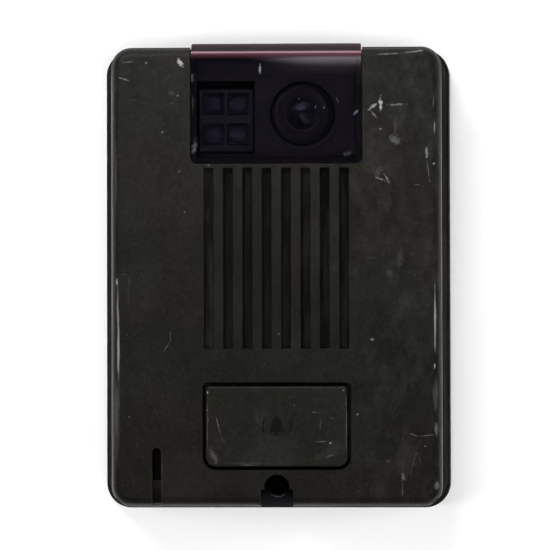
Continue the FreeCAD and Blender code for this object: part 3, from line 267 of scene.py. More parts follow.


# ---------------------------------------------------------------- worn outer plastic
# Knocks, scratches and dust spots, with a few painted highlights among them. Each is an ellipse: the x and z of
# its middle (mm), its turn from +X towards +Z (degrees), half its length and half its width (mm), and its
# strength.
FACE_MARKS_AND_HIGHLIGHTS = [
    # upper left
    (-26.3, 59.0, -55, 1.50, 0.62, 0.80),
    (-35.6, 59.0, 0, 0.40, 0.38, 0.30),
    (-41.7, 54.6, -18, 1.50, 0.18, 0.34),
    (-40.5, 59.3, 5, 1.80, 0.18, 0.24),
    (-39.2, 48.8, -4, 1.40, 0.14, 0.096),
    (-27.0, 50.0, 30, 0.45, 0.32, 0.24),
    (-28.8, 50.8, 0, 1.10, 0.80, 0.048),
    (-31.2, 40.0, 0, 0.30, 0.30, 0.29),
    (-26.6, 29.2, 0, 0.30, 0.30, 0.22),
    (-25.1, 18.0, 0, 0.28, 0.28, 0.24),
    (-18.5, 30.9, 0, 0.28, 0.22, 0.34),
    # upper right
    (28.7, 47.6, 88, 2.00, 0.55, 0.72),
    (26.6, 46.9, 35, 1.60, 0.42, 0.48),
    (26.8, 44.6, -50, 1.20, 0.36, 0.22),
    (33.1, 47.3, 3, 2.80, 0.34, 0.22),
    (28.5, 40.6, 0, 0.32, 0.32, 0.34),
    (32.5, 37.7, -35, 1.90, 1.20, 0.12),
    (32.6, 41.2, 90, 3.20, 0.60, 0.045),
    (33.9, 5.4, 85, 3.00, 1.20, 0.030),
    (30.8, 1.3, -30, 1.60, 1.00, 0.028),
    (25.5, 5.4, 0, 1.80, 0.50, 0.022),
    (35.5, -7.0, 65, 5.00, 2.80, 0.010),
    (34.0, 44.0, 90, 6.00, 3.20, 0.012),
    (41.2, 34.1, 95, 1.80, 0.42, 0.31),
    (41.6, 29.2, -83, 3.20, 0.14, 0.19),
    (43.2, 31.1, 0, 0.28, 0.28, 0.31),
    (28.9, 26.8, -20, 2.00, 0.22, 0.26),
    (30.4, 26.9, -60, 1.60, 0.26, 0.30),
    (28.0, 29.2, 80, 1.60, 1.50, 0.043),
    (38.8, 25.3, 0, 0.80, 0.18, 0.14),
    # lower left
    (-41.6, 0.9, 5, 1.40, 0.11, 0.10),
    (-40.4, -0.8, -80, 1.60, 0.11, 0.09),
    (-40.6, -5.0, 88, 3.60, 0.24, 0.025),
    (-29.1, -16.2, 90, 1.60, 0.08, 0.20),
    (-30.1, -18.9, 57, 1.80, 0.09, 0.20),
    (0.6, -15.4, 0, 0.28, 0.28, 0.29),
    (6.2, -16.0, 0, 0.24, 0.24, 0.17),
    # painted highlights: a line along the microphone groove's right edge, and a glint inside the groove
    (-31.4, -53.0, 90, 6.40, 0.10, 0.077),
    (-32.8, -49.9, 69, 1.20, 0.20, 0.35),
    # lower right
    (26.3, -16.9, 20, 0.70, 0.45, 0.22),
    (22.1, -37.4, 50, 0.42, 0.28, 0.22),
    (37.3, -43.0, -20, 1.40, 0.14, 0.16),
    (41.2, -43.2, 5, 1.70, 0.18, 0.14),
    (30.5, -43.2, -75, 1.20, 0.13, 0.096),
    (34.6, -54.6, 95, 1.40, 0.65, 0.13),
    (34.3, -58.0, 90, 2.20, 0.22, 0.077),
    (37.4, -50.4, 75, 3.80, 0.12, 0.082),
    (38.8, -49.2, 112, 3.00, 0.12, 0.062),
    (30.3, -50.2, 0, 0.55, 0.50, 0.058),
    (35.5, -49.0, 85, 6.50, 3.60, 0.015),
]
# Long pale streaks on the rounded front edge, drawn out along the edge. The last two are painted highlights on the
# top edge.
EDGE_STREAKS_AND_HIGHLIGHTS = [
    (-43.5, -10.0, 90, 9.0, 0.36, 0.28),
    (-43.4, -21.0, 90, 9.5, 0.42, 0.40),
    (-43.7, -1.0, 90, 1.3, 0.34, 0.40),
    (-43.7, -38.0, 90, 12.0, 0.70, 0.07),
    (-44.0, 28.0, 90, 9.0, 0.30, 0.05),
    (43.3, -12.0, 90, 10.5, 0.32, 0.42),
    (43.2, -24.2, 90, 1.1, 0.28, 0.50),
    (43.4, -31.5, 90, 5.5, 0.80, 0.06),
    (43.6, -41.4, 90, 2.1, 0.60, 0.14),
    (43.6, -56.8, 90, 1.3, 0.80, 0.14),
    (43.0, 47.8, 90, 1.7, 0.20, 0.15),
    (43.4, 41.0, 90, 2.1, 0.26, 0.40),
    (30.7, 61.2, 3, 3.3, 0.18, 0.25),
    (38.2, 61.9, 7, 2.8, 0.30, 0.40),
]
KEY_MARKS_AND_HIGHLIGHTS = [
    (-16.0, -40.4, -76, 3.00, 0.10, 0.22),
    (-14.4, -44.8, -53, 1.40, 0.09, 0.099),
    (-17.2, -48.7, -60, 2.20, 0.80, 0.072),
    # painted highlights: dots along the key's left edge
    (-18.9, -31.4, 90, 0.42, 0.30, 0.60),
    (-18.9, -36.1, 90, 0.32, 0.25, 0.23),
    (-18.8, -38.9, 90, 0.32, 0.25, 0.20),
    (-8.5, -51.2, 0, 2.80, 0.12, 0.15),
    (10.3, -36.8, 0, 0.90, 0.18, 0.15),
    (15.1, -38.4, -5, 1.00, 0.14, 0.099),
    (14.7, -45.2, 0, 0.40, 0.32, 0.36),
    (12.4, -44.8, 3, 2.60, 0.14, 0.13),
    (11.9, -40.0, 90, 2.00, 0.11, 0.081),
    (14.7, -48.7, 10, 1.20, 0.28, 0.09),
    (-8.5, -50.7, 0, 7.00, 0.26, 0.030),
    (14.0, -48.0, 35, 4.50, 1.80, 0.016),
    (18.3, -30.8, 0, 0.34, 0.30, 0.23),
    # painted highlight lines along the key's right and left edges
    (19.0, -40.7, 90, 9.40, 0.12, 0.12),
    (-19.0, -41.0, 90, 9.20, 0.12, 0.12),
]
WINDOW_MARKS_AND_HIGHLIGHTS = [
    (-4.35, 57.3, 88, 1.35, 0.42, 0.60),
    (-22.4, 36.0, 80, 2.60, 0.75, 0.27),
    # these two, along the window's left edge, are partly scuffs and partly a painted highlight of the edge
    (-22.9, 55.0, 90, 1.80, 0.50, 0.22),
    (-22.8, 48.0, 90, 4.00, 0.35, 0.17),
    (21.8, 45.2, 40, 1.25, 0.38, 0.42),
    (19.5, 33.9, 15, 1.30, 1.00, 0.18),
    (-19.9, 44.2, 0, 1.20, 0.10, 0.12),
    (13.1, 46.5, 60, 0.45, 0.28, 0.30),
    (16.8, 48.6, -70, 0.90, 0.15, 0.28),
    (6.3, 49.0, 0, 0.45, 0.12, 0.28),
    (10.8, 46.6, 80, 0.55, 0.14, 0.30),
]


def marked(look, marks, torn):
    """The strongest of the marks at each point of the front. torn, about 0..1, makes their outlines ragged."""
    found = []
    ragged = look.product(look.maths("SUBTRACT", torn, 0.5), 2.2)
    for x, z, turn, half_length, half_width, strength in marks:
        placed = look.add(
            "ShaderNodeMapping",
            Vector=look.place,
            Location=(x * MM, 0.0, z * MM),
            Rotation=(0.0, -math.radians(turn), 0.0),
            Scale=(half_length * MM, 1.0, half_width * MM),
        )
        placed.vector_type = "TEXTURE"
        away = look.add("ShaderNodeVectorMath", placed.outputs[0])
        away.operation = "LENGTH"
        near = look.span(look.sum(away.outputs["Value"], ragged), 1.15, 0.3)
        found.append(look.product(near, strength))
    return look.product(look.most(*found), look.span(look.y, *FRONT_MARKING))


def mottled(look, colour, patch, blotch, speckle):
    """The plastic's own colour, between olive and brown, with paler patches, blotches and speckle."""
    olive, brown = (0.86, 1.10, 0.78), (1.26, 0.94, 0.88)
    drift = look.span(look.noise(26.0, 3.0), 0.35, 0.65)
    toned = look.mix(drift, tinted(colour, olive), tinted(colour, brown))
    toned = look.mix(look.span(patch, 0.35, 0.70, 0.0, 0.4), toned, grey(1.4, colour))
    toned = look.mix(look.product(blotch, 0.40), toned, grey(1.9, colour))
    return look.mix(look.span(speckle, 0.45, 0.75, 0.0, 0.6), toned, grey(2.1, colour))


def handling_haze(look, streaky):
    """A dull haze in cloudy streaks, more of it to the right and towards the top."""
    cloudy = look.noise(60.0, 4.0, 0.6)
    rightward = look.span(look.x, -0.005, 0.040, 0.0, 0.85)
    upward = look.span(look.z, -0.030, 0.060, 0.05, 0.7)
    return look.product(look.span(look.product(streaky, cloudy), 0.17, 0.42), look.sum(rightward, upward))


def rubbed_edges(look, amount):
    """Edges rubbed pale in places, most of all near the sides and not at all in the grille."""
    across = look.distance(look.x)
    grille = look.product(
        look.span(across, GRILLE_SIDE + GRILLE_FADE, GRILLE_SIDE - GRILLE_FADE),
        look.span(look.z, GRILLE_TOP + GRILLE_FADE, GRILLE_TOP - GRILLE_FADE),
    )
    in_places = look.span(look.noise(110.0, 4.0, 0.65), 0.46, 0.70)
    near_sides = look.span(across, 0.0400, 0.0425, 0.35, 1.0)
    return look.product(look.edges(0.0005), in_places, look.inverse(grille), near_sides, 0.22 * amount)


def painted_lip_highlight(look):
    """A painted highlight on the thin lip round the cover's rim, bright along its sides and lower edge, brighter
    to the left and faint at the top.
    """
    lip = look.product(
        look.span(look.y, LIP_REAR + LIP_FADE, LIP_REAR - LIP_FADE),
        look.span(look.y, LIP_FRONT - LIP_FADE, LIP_FRONT + LIP_FADE),
    )
    uneven = look.span(look.noise(40.0, 3.0, 0.6, at=look.stretched(1.0, 1.0, 0.4)), 0.35, 0.62, 0.6, 1.0)
    below_top = look.span(look.z, 0.062, 0.050, 0.25, 1.0)
    leftward = look.span(look.x, -0.030, 0.030, 0.60, 0.42)
    outermost = look.most(
        look.span(look.distance(look.x), 0.0440, 0.0446), look.span(look.distance(look.z), 0.0617, 0.0621)
    )
    return look.product(lip, uneven, below_top, leftward, outermost)


def in_groove(look):
    """1 inside the deep part of the microphone groove, 0 elsewhere."""
    x, top, foot = GROOVE_LINE
    inside = look.product(
        look.span(look.distance(look.x, x), 0.00125, 0.00115), look.span(look.y, -0.03290, -0.03265)
    )
    return look.product(inside, look.span(look.z, top, top - 0.0001), look.span(look.z, foot, foot + 0.0006))


def in_notch(look):
    """1 inside the fixing screw's notch, 0 elsewhere."""
    half_width, top = NOTCH_REACH
    across = look.span(look.distance(look.x), half_width, half_width - 0.0002)
    return look.product(across, look.span(look.z, top, top - 0.0002), look.span(look.y, -0.0324, -0.0318))


def sunk_mark(look, x, y, z, reach):
    """1 on the floor of the pictogram sunk into the key at (x, y, z), 0 on the face round it."""
    near_x = look.span(look.distance(look.x, x), reach, reach * 0.98)
    near_z = look.span(look.distance(look.z, z), reach, reach * 0.98)
    deep = look.span(look.y, y + 0.00006, y + 0.00012)
    return look.product(near_x, near_z, deep)


def worn_plastic(
    name, colour, roughness, marks=(), edge_streaks=(), dust=1.0, edge_wear=1.0, mark=None, side_shine=0.28, painted_side_light_amount=0.02
):
    """Moulded plastic with a fine spark-eroded grain, dulled by handling and lighter where it has rubbed. Painted
    light on it: painted shade in the microphone groove and screw notch, the notch painted paler towards its open
    foot, the sides painted paler, a painted highlight on the rim's lip, and painted highlights among its marks.
    """
    look = Look(name)
    patch = look.noise(210.0, 4.0, 0.65)
    blotch = look.span(look.noise(75.0, 5.0, 0.62), 0.42, 0.68)
    speckle = look.noise(950.0, 3.0, 0.6)
    fine = look.noise(2400.0, 2.0, 0.6)
    streaky = look.noise(300.0, 4.0, 0.65, at=look.stretched(1.0, 1.0, 0.55))
    side = look.span(look.y, *SIDE_LOOK)
    notch = in_notch(look)
    recess_shade = look.most(in_groove(look), notch)

    haze = handling_haze(look, streaky)
    # painted light: the sides, and the whole rear case, paler in patches
    painted_side_light = look.product(side, look.span(look.noise(55.0, 5.0, 0.65), 0.3, 0.7, 0.35, 1.0), painted_side_light_amount)
    dust_film_and_side_light = look.most(look.product(haze, 0.028 * dust), look.product(blotch, streaky, 0.014), painted_side_light)
    # painted light: the notch paler towards its open foot
    notch_foot_light = look.product(notch, look.span(look.z, *NOTCH_FOOT_LIGHT, 0.0, 0.06))

    scratches = look.most(look.hairlines(160.0, 28, 0.62), look.hairlines(210.0, -52, 0.64))
    dots = look.most(look.specks(420.0, 0.10, 0.035), look.specks(900.0, 0.13, 0.02))
    light = look.most(
        rubbed_edges(look, edge_wear),
        look.product(scratches, 0.030),
        look.product(dots, 0.28 * dust),
        painted_lip_highlight(look),
    )
    if marks:
        light = look.most(light, marked(look, marks, look.noise(1300.0, 3.0)))
    if edge_streaks:
        drawn_out = look.noise(1500.0, 3.0, 0.7, at=look.stretched(1.0, 1.0, 0.10))
        light = look.most(light, marked(look, edge_streaks, drawn_out))

    base = mottled(look, colour, patch, blotch, speckle)
    # dust film, together with the painted light on the sides
    base = look.mix(dust_film_and_side_light, base, srgb(150, 150, 146))
    # painted shade: the microphone groove and the screw notch darkened
    base = look.mix(recess_shade, base, grey(0.3, colour))
    base = look.mix(notch_foot_light, base, srgb(134, 130, 140))
    # pale wear, with the painted highlights on the lip and among the marks and edge streaks
    base = look.mix(light, base, srgb(168, 168, 162))
    if mark:
        base = look.mix(look.product(sunk_mark(look, *mark), 0.9), base, grey(0.2, colour))
    rough = look.sum(
        look.span(fine, 0.3, 0.7, roughness - 0.05, roughness + 0.05),
        look.product(haze, 0.08),
        look.product(light, 0.15),
    )
    shine = look.product(
        look.span(side, 0.0, 1.0, 0.28, side_shine),
        look.span(recess_shade, 0.0, 1.0, 1.0, 0.1),
        look.span(look.y, BEVEL_FRONT, BEVEL_REAR, 1.0, 0.4),
        look.span(patch, 0.3, 0.7, 0.975, 1.03),
        look.span(speckle, 0.35, 0.70, 0.90, 1.14),
    )
    grain = look.sum(look.product(look.cells(1900.0, "SMOOTH_F1"), 0.6), look.product(fine, 0.4))
    normal = look.bump(grain, 0.00003, 0.5)
    normal = look.bump(look.noise(160.0, 3.0, 0.6), 0.00010, 0.22, normal)
    return look.finished(
        look.principled(
            Base_Color=base,
            Roughness=rough,
            Normal=normal,
            IOR=1.5,
            Specular_IOR_Level=shine,
            Specular_Tint=(1.0, 0.98, 0.88),
        )
    )


# ---------------------------------------------------------------- other materials
def inner_plastic(name, colour, roughness=0.5):
    """Plain moulded plastic, a little paler on its edges."""
    look = Look(name)
    base = look.mix(look.noise(70.0, 4.0, 0.6), grey(0.8, colour), grey(1.25, colour))
    base = look.mix(look.product(look.edges(0.0004), 0.2), base, grey(2.0, colour))
    rough = look.span(look.noise(240.0, 3.0), 0.3, 0.7, roughness - 0.07, roughness + 0.07)
    normal = look.bump(look.noise(1800.0), 0.00002, 0.5)
    return look.finished(look.principled(Base_Color=base, Roughness=rough, Normal=normal, IOR=1.49))


def rubbery(name, colour):
    """Dull rubber, foam or paper pulp, with open pores and pale dust."""
    look = Look(name)
    pores = look.cells(2600.0)
    base = look.mix(look.span(look.noise(300.0, 4.0), 0.4, 0.8, 0.0, 0.5), colour, grey(2.2, colour))
    rough = look.span(pores, 0.1, 0.6, 0.72, 0.88)
    normal = look.bump(pores, 0.00005, 0.6)
    return look.finished(look.principled(Base_Color=base, Roughness=rough, Normal=normal, IOR=1.45))


def rolled_metal(name, colour, roughness, spangle=0.0, tarnish=(0.32, 0.24, 0.15), age=0.25):
    """Plated or rolled metal with rolling lines and small dents. spangle and age are from 0 to 1."""
    look = Look(name)
    lines = look.noise(900.0, 3.0, 0.6, at=look.stretched(1.0, 1.0, 0.05))
    flakes = look.cell_values(420.0)
    base = look.mix(look.product(flakes, spangle), grey(0.95, colour), grey(1.08, colour))
    old = look.product(look.span(look.noise(130.0, 5.0, 0.7), 0.52, 0.78), age)
    base = look.mix(old, base, tarnish)
    rough = look.sum(
        look.span(lines, 0.3, 0.7, roughness - 0.06, roughness + 0.06),
        look.product(flakes, spangle * 0.09),
        look.product(old, 0.5),
    )
    normal = look.bump(lines, 0.00001, 0.5)
    normal = look.bump(look.noise(350.0), 0.00003, 0.3, normal)
    return look.finished(look.principled(Base_Color=base, Metallic=1.0, Roughness=rough, Normal=normal))


def woven(name, colour):
    """A plain weave of threads over and under each other, dusty near its left side."""
    look = Look(name)
    step = 2 * math.pi / (0.36 * MM)
    warp = look.maths("SINE", look.product(look.x, step))
    weft = look.maths("SINE", look.product(look.z, step))
    height = look.product(look.sum(look.distance(warp), look.distance(weft)), 0.5)
    height = look.sum(height, look.product(look.noise(5200.0), 0.3))
    streaks = look.noise(420.0, 4.0, 0.7, at=look.stretched(1.0, 1.0, 0.15))
    dusty = look.product(
        look.span(streaks, 0.35, 0.75),
        look.span(look.noise(60.0, 3.0), 0.25, 0.6),
        look.span(look.x, -0.0150, -0.0195, 0.15, 1.0),
        0.18,
    )
    shaded = look.product(look.span(streaks, 0.62, 0.38), look.span(look.x, -0.016, 0.016, 0.45, 0.95))
    outside_grille = look.span(look.x, -0.028, -0.030)
    base = look.mix(look.span(height, 0.2, 1.0), grey(0.45, colour), grey(1.25, colour))
    base = look.mix(shaded, base, grey(0.3, colour))
    base = look.mix(dusty, base, srgb(120, 118, 108))
    base = look.mix(outside_grille, base, grey(0.12, colour))
    return look.finished(
        look.principled(
            Base_Color=base,
            Roughness=look.span(height, 0.0, 1.2, 0.95, 0.8),
            Normal=look.bump(height, 0.00008, 0.8),
            Specular_IOR_Level=0.1,
        )
    )


def circuit_board(name):
    """Blue solder mask over copper tracks, with tinned pads."""
    look = Look(name)
    bricks = look.add(
        "ShaderNodeTexBrick", Vector=look.stretched(1.0, 1.0, 1.0, (90, 0, 0)), Scale=260.0, Mortar_Size=0.06
    )
    bricks.offset = 0.37
    tracks = look.product(bricks.outputs["Fac"], look.span(look.noise(75.0, 1.0), 0.45, 0.55))
    pads = look.specks(380.0, 0.16, 0.35)
    mask = look.mix(look.noise(50.0, 3.0), srgb(14, 30, 58), srgb(18, 40, 74))
    base = look.mix(look.product(tracks, 0.6), mask, srgb(40, 70, 112))
    base = look.mix(pads, base, srgb(176, 172, 160))
    return look.finished(
        look.principled(
            Base_Color=base,
            Metallic=look.product(pads, 0.9),
            Roughness=look.mix(pads, grey(0.32), grey(0.24)),
            Normal=look.bump(look.sum(tracks, pads), 0.00004, 0.6),
        )
    )


def clear_part(name, colour, roughness, ior=1.5, milk=0.0):
    """Clear glass or resin with a trace of smear. milk is how cloudy it is."""
    look = Look(name)
    smear = look.span(look.noise(220.0, 4.0, 0.6), 0.4, 0.8, roughness, roughness + 0.05)
    base = look.mix(look.noise(90.0), colour, grey(0.94, colour))
    glass = look.principled(Base_Color=base, Roughness=smear, IOR=ior, Transmission_Weight=1.0 - milk)
    return look.finished(lamps_pass(look, glass, colour))


def lamps_pass(look, surface, tint):
    """The surface, but clear and tinted for the rays that carry lamp light to what lies behind it."""
    path = look.add("ShaderNodeLightPath")
    clear = look.add("ShaderNodeBsdfTransparent", Color=tint)
    return look.blended(path.outputs["Is Shadow Ray"], surface, clear.outputs[0])


def smoked_window(name):
    """A smoked acrylic sheet, purple-black in the flat. Painted light on it: a pink painted glow and a painted
    highlight line just below where it bends over the top edge, a painted reflection on the strip past the bend,
    and a pale painted reflection on the upper flat that grows towards the right.
    """
    look = Look(name)
    past_bend = look.span(look.z, *WINDOW_BEND)
    before_bend = look.inverse(past_bend)
    # painted glow: pink, rising up to just below the bend, its foot lower towards the right
    foot = look.span(look.x, *LEFT_TO_RIGHT, 0.0592, 0.0576)
    rise = look.maths("POWER", look.span(look.z, foot, PAINTED_GLOW_TOP, smooth=False), 1.7)
    painted_glow = look.product(rise, before_bend)
    # painted highlight line just below the bend
    line = look.product(look.span(look.z, *PAINTED_HIGHLIGHT_LINE), before_bend)
    # painted reflection: a pale veil on the upper flat, growing towards the right
    painted_reflection = look.product(
        look.span(look.z, *REFLECTION_FOOT), look.span(look.z, *REFLECTION_TOP), look.span(look.x, *LEFT_TO_RIGHT), 0.022
    )
    wear_and_highlight = look.most(
        look.product(look.specks(520.0, 0.10, 0.04), 0.22),
        marked(look, WINDOW_MARKS_AND_HIGHLIGHTS, look.noise(900.0, 3.0)),
        look.product(look.hairlines(150.0, 40, 0.64), 0.035),
        look.span(look.noise(90.0, 5.0, 0.65), 0.50, 0.80, 0.0, 0.006),
    )

    sheet = look.principled(
        Base_Color=look.mix(look.noise(60.0), (0.225, 0.22, 0.262), (0.275, 0.265, 0.315)),
        Roughness=look.span(wear_and_highlight, 0.0, 0.5, 0.05, 0.5),
        IOR=1.49,
        Specular_Tint=(0.3, 0.3, 0.36),
        Transmission_Weight=1.0,
    )
    # painted reflection on the strip past the bend, paler towards its top
    strip = look.mix(look.span(look.z, *TOP_STRIP), (0.011, 0.005, 0.007), (0.055, 0.036, 0.043))
    skin_colour = look.mix(painted_glow, (0.010, 0.008, 0.012), (0.20, 0.080, 0.105))
    skin_colour = look.mix(past_bend, skin_colour, strip)
    skin_colour = look.mix(line, skin_colour, (0.30, 0.18, 0.215))
    skin_colour = look.mix(look.span(painted_reflection, 0.0, 0.02), skin_colour, (0.34, 0.30, 0.33))
    skin_colour = look.mix(wear_and_highlight, skin_colour, srgb(178, 178, 184))
    skin = look.principled(Base_Color=skin_colour, Roughness=0.32, IOR=1.49, Specular_IOR_Level=0.06)
    cover = look.sum(
        look.span(painted_glow, 0.0, 1.0, 0.0, 0.55, smooth=False),
        look.product(past_bend, 0.97),
        look.product(line, 0.40),
        painted_reflection,
    )
    see_through = lamps_pass(look, sheet, (0.50, 0.46, 0.52))
    return look.finished(look.blended(look.most(wear_and_highlight, cover), see_through, skin))


key_low, key_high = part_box("button_cap")
KEY_SIGN = (0.0, key_low.y, (key_low.z + key_high.z) / 2, 0.0050)  # place of its pictogram, and its reach
COVER = grey(0.0034, (1.03, 1.0, 0.84))
LOOKS = {
    "bracket_steel": rolled_metal("bracket_steel", (0.60, 0.61, 0.62), 0.34, spangle=0.8),
    "case_plastic": worn_plastic("case_plastic", grey(0.9, COVER), 0.52, dust=0.8),
    "cover_plastic": worn_plastic(
        "cover_plastic", COVER, 0.50, FACE_MARKS_AND_HIGHLIGHTS, EDGE_STREAKS_AND_HIGHLIGHTS, side_shine=0.0, painted_side_light_amount=0.03
    ),
    "key_plastic": worn_plastic(
        "key_plastic", grey(1.6, COVER), 0.46, KEY_MARKS_AND_HIGHLIGHTS, dust=0.8, edge_wear=1.2, mark=KEY_SIGN
    ),
    "seal_rubber": rubbery("seal_rubber", grey(0.012)),
    "screw_steel": rolled_metal(
        "screw_steel", (0.055, 0.052, 0.047), 0.50, tarnish=(0.03, 0.022, 0.015), age=0.9
    ),
    "window_smoked": smoked_window("window_smoked"),
    "foam_tape": rubbery("foam_tape", grey(0.040, (0.98, 1.0, 1.02))),
    "bezel_plastic": inner_plastic("bezel_plastic", grey(0.034, (0.98, 1.0, 1.02)), 0.6),
    "cloth": woven("cloth", grey(0.0105, (1.0, 1.0, 0.93))),
    "basket_steel": rolled_metal("basket_steel", (0.48, 0.48, 0.47), 0.36),
    "cone_paper": rubbery("cone_paper", grey(0.03)),
    "ferrite": inner_plastic("ferrite", grey(0.05, (1.0, 0.97, 0.95)), 0.7),
    "spring_steel": rolled_metal("spring_steel", (0.66, 0.66, 0.66), 0.24, age=0.1),
    "inner_plastic": inner_plastic("inner_plastic", grey(0.03)),
    "circuit_board": circuit_board("circuit_board"),
    "component_black": inner_plastic("component_black", grey(0.018), 0.45),
    "plunger_plastic": inner_plastic("plunger_plastic", (0.55, 0.52, 0.44), 0.4),
    "pod_plastic": inner_plastic("pod_plastic", grey(0.060), 0.6),
    "lens_metal": inner_plastic("lens_metal", grey(0.024, (1.0, 1.0, 1.05)), 0.36),
    "lens_glass": clear_part("lens_glass", (0.80, 0.86, 0.95), 0.14),
    "led_epoxy": clear_part("led_epoxy", (0.80, 0.84, 0.92), 0.05, 1.53, milk=0.07),
    "capacitor_sleeve": inner_plastic("capacitor_sleeve", (0.02, 0.03, 0.08), 0.3),
    "transformer_core": inner_plastic("transformer_core", (0.30, 0.24, 0.06), 0.45),
    "header_nylon": inner_plastic("header_nylon", (0.66, 0.63, 0.54), 0.45),
    "terminal_plastic": inner_plastic("terminal_plastic", (0.02, 0.09, 0.04), 0.42),
    "plated_brass": rolled_metal("plated_brass", (0.62, 0.55, 0.36), 0.28, age=0.4),
    "lead_insulation": inner_plastic("lead_insulation", (0.22, 0.02, 0.015), 0.4),
    "flex_film": inner_plastic("flex_film", (0.35, 0.14, 0.03), 0.3),
    "capsule_metal": rolled_metal("capsule_metal", (0.68, 0.68, 0.68), 0.3),
}


def dress_nodes():
    """Each CAD node takes the look of its slot in the record."""
    for subpart in frame["record"]["subparts"]:
        piece = NODES[subpart["node"]]
        look = LOOKS[subpart["material_slot"]]
        if not piece.material_slots:
            piece.data.materials.append(look)
        for slot in piece.material_slots:
            slot.material = look


dress_nodes()


# ---------------------------------------------------------------- pieces copied from CAD nodes
def giving_copy(name, node):
    """A copy of a CAD node, shown in its place while the node is hidden."""
    piece = bpy.data.objects.new(name, NODES[node].data.copy())
    bpy.context.scene.collection.objects.link(piece)
    piece.matrix_world = NODES[node].matrix_world
    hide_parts(node)
    return piece


def shorten_springs():
    """A copy of the key's coil springs, on the station body, with a mesh of its own."""
    coils = giving_copy("key_coils", "button_springs")
    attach(coils, "station")
    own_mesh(coils)


def bend_flex():
    """A copy of the camera's flat cable, with its placement baked into its mesh."""
    strip = giving_copy("flat_cable", "camera_flex")
    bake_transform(strip)


shorten_springs()
bend_flex()


# ---------------------------------------------------------------- stage, light and camera
def plane(name, matrix, material):
    """A large flat square for the stage."""
    mesh = bpy.data.meshes.new(name)
    reach = STAGE_SIZE / 2
    corners = [(-reach, -reach, 0), (reach, -reach, 0), (reach, reach, 0), (-reach, reach, 0)]
    mesh.from_pydata(corners, [], [(0, 1, 2, 3)])
    mesh.materials.append(material)
    piece = bpy.data.objects.new(name, mesh)
    bpy.context.scene.collection.objects.link(piece)
    piece.matrix_world = matrix


def backdrop_paper():
    """Matte white paper, clear from behind. Behind the case it is clear to all but the camera, so that the
    rear lamps light the back."""
    look = Look("backdrop_paper")
    paper = look.add("ShaderNodeBsdfDiffuse", Color=grey(0.90))
    clear = look.add("ShaderNodeBsdfTransparent")
    path = look.add("ShaderNodeLightPath")
    geometry = look.add("ShaderNodeNewGeometry")
    behind_case = look.product(
        look.span(look.distance(look.x), cad_box[1][0], cad_box[1][0] - MM),
        look.span(look.distance(look.y), cad_box[1][2], cad_box[1][2] - MM),
        look.inverse(path.outputs["Is Camera Ray"]),
    )
    share = look.most(geometry.outputs["Backfacing"], behind_case)
    return look.finished(look.blended(share, paper.outputs[0], clear.outputs[0]))


def floor_paper():
    """Matte white paper that looks evenly pale to the camera."""
    look = Look("floor_paper")
    paper = look.add("ShaderNodeBsdfDiffuse", Color=grey(0.85))
    pale = look.add("ShaderNodeEmission", Color=(0.80, 0.82, 0.84))
    path = look.add("ShaderNodeLightPath")
    return look.finished(look.blended(path.outputs["Is Camera Ray"], paper.outputs[0], pale.outputs[0]))


def soft_light(name, place, size, power, shine=True):
    """A softbox that faces the object. shine says whether it shows in reflections."""
    data = bpy.data.lights.new(name, "AREA")
    data.shape = "RECTANGLE"
    data.size, data.size_y = size
    data.energy = power
    data.spread = math.radians(HONEYCOMB)
    lamp = bpy.data.objects.new(name, data)
    lamp.location = place
    lamp.visible_glossy = shine
    lamp.rotation_euler = (CENTRE - Vector(place)).to_track_quat("-Z", "Y").to_euler()
    bpy.context.scene.collection.objects.link(lamp)


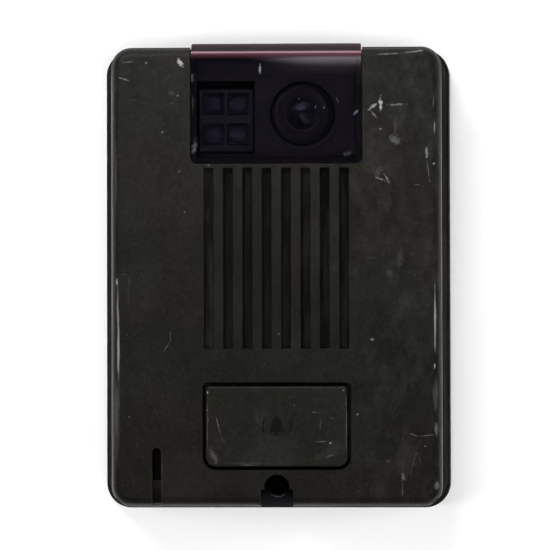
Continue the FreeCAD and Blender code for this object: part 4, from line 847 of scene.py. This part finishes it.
def studio_world():
    """A pale studio to look at, and a dimmer one for light and reflections, so that dark parts stay dark."""
    world = bpy.data.worlds.new("studio")
    world.use_nodes = True
    tree = world.node_tree
    seen = tree.nodes["Background"]
    seen.inputs["Color"].default_value = (0.93, 0.95, 0.97, 1.0)
    seen.inputs["Strength"].default_value = 0.9
    lit = tree.nodes.new("ShaderNodeBackground")
    lit.inputs["Color"].default_value = (0.90, 0.95, 1.0, 1.0)
    lit.inputs["Strength"].default_value = ROOM_LIGHT
    path = tree.nodes.new("ShaderNodeLightPath")
    either = tree.nodes.new("ShaderNodeMixShader")
    tree.links.new(path.outputs["Is Camera Ray"], either.inputs[0])
    tree.links.new(lit.outputs[0], either.inputs[1])
    tree.links.new(seen.outputs[0], either.inputs[2])
    tree.links.new(either.outputs[0], tree.nodes["World Output"].inputs["Surface"])
    bpy.context.scene.world = world


def build_stage():
    """Backdrop, floor and lights."""
    upright = Matrix.Translation((0, WALL_GAP, 0)) @ Matrix.Rotation(math.radians(90), 4, "X")
    plane("backdrop", upright, backdrop_paper())
    plane("floor", Matrix.Translation((0, 0, FLOOR_Z)), floor_paper())
    studio_world()
    soft_light("key_softbox", (-0.24, -0.86, 0.52), (0.36, 0.28), 0.75)
    soft_light("low_softbox", (0.10, -1.25, -0.30), (0.60, 0.35), 1.12, shine=False)
    soft_light("left_softbox", (-1.35, -0.42, -0.05), (0.6, 0.9), 4.4, shine=False)
    soft_light("right_softbox", (1.35, -0.42, -0.05), (0.6, 0.9), 4.4, shine=False)
    soft_light("top_softbox", (0.0, -0.50, 1.35), (1.2, 0.5), 0.5)
    soft_light("rear_fill", (0.3, 1.3, 0.7), (1.4, 1.4), 8.0)
    soft_light("rear_key", (0.30, 0.86, 0.46), (0.40, 0.30), 1.5)
    bpy.context.scene.view_settings.view_transform = "Standard"


def build_camera():
    """The photograph's view: nearly straight on, a little from the right and from below."""
    face_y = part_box("front_cover")[0].y
    aim = Vector((-0.38 * MM, face_y, 0.72 * MM))
    away = Vector(
        (
            math.sin(VIEW_RIGHT) * math.cos(VIEW_UP),
            -math.cos(VIEW_RIGHT) * math.cos(VIEW_UP),
            math.sin(VIEW_UP),
        )
    )
    data = bpy.data.cameras.new("camera")
    data.sensor_width = SENSOR
    data.lens = LENS
    data.clip_start = 0.01
    camera = bpy.data.objects.new("camera", data)
    camera.location = aim + away * FAR_FROM_FACE
    turn = (-away).to_track_quat("-Z", "Y").to_matrix() @ Matrix.Rotation(-ROLL, 3, "Z")
    camera.rotation_euler = turn.to_euler()
    bpy.context.scene.collection.objects.link(camera)
    bpy.context.scene.camera = camera


build_stage()
build_camera()
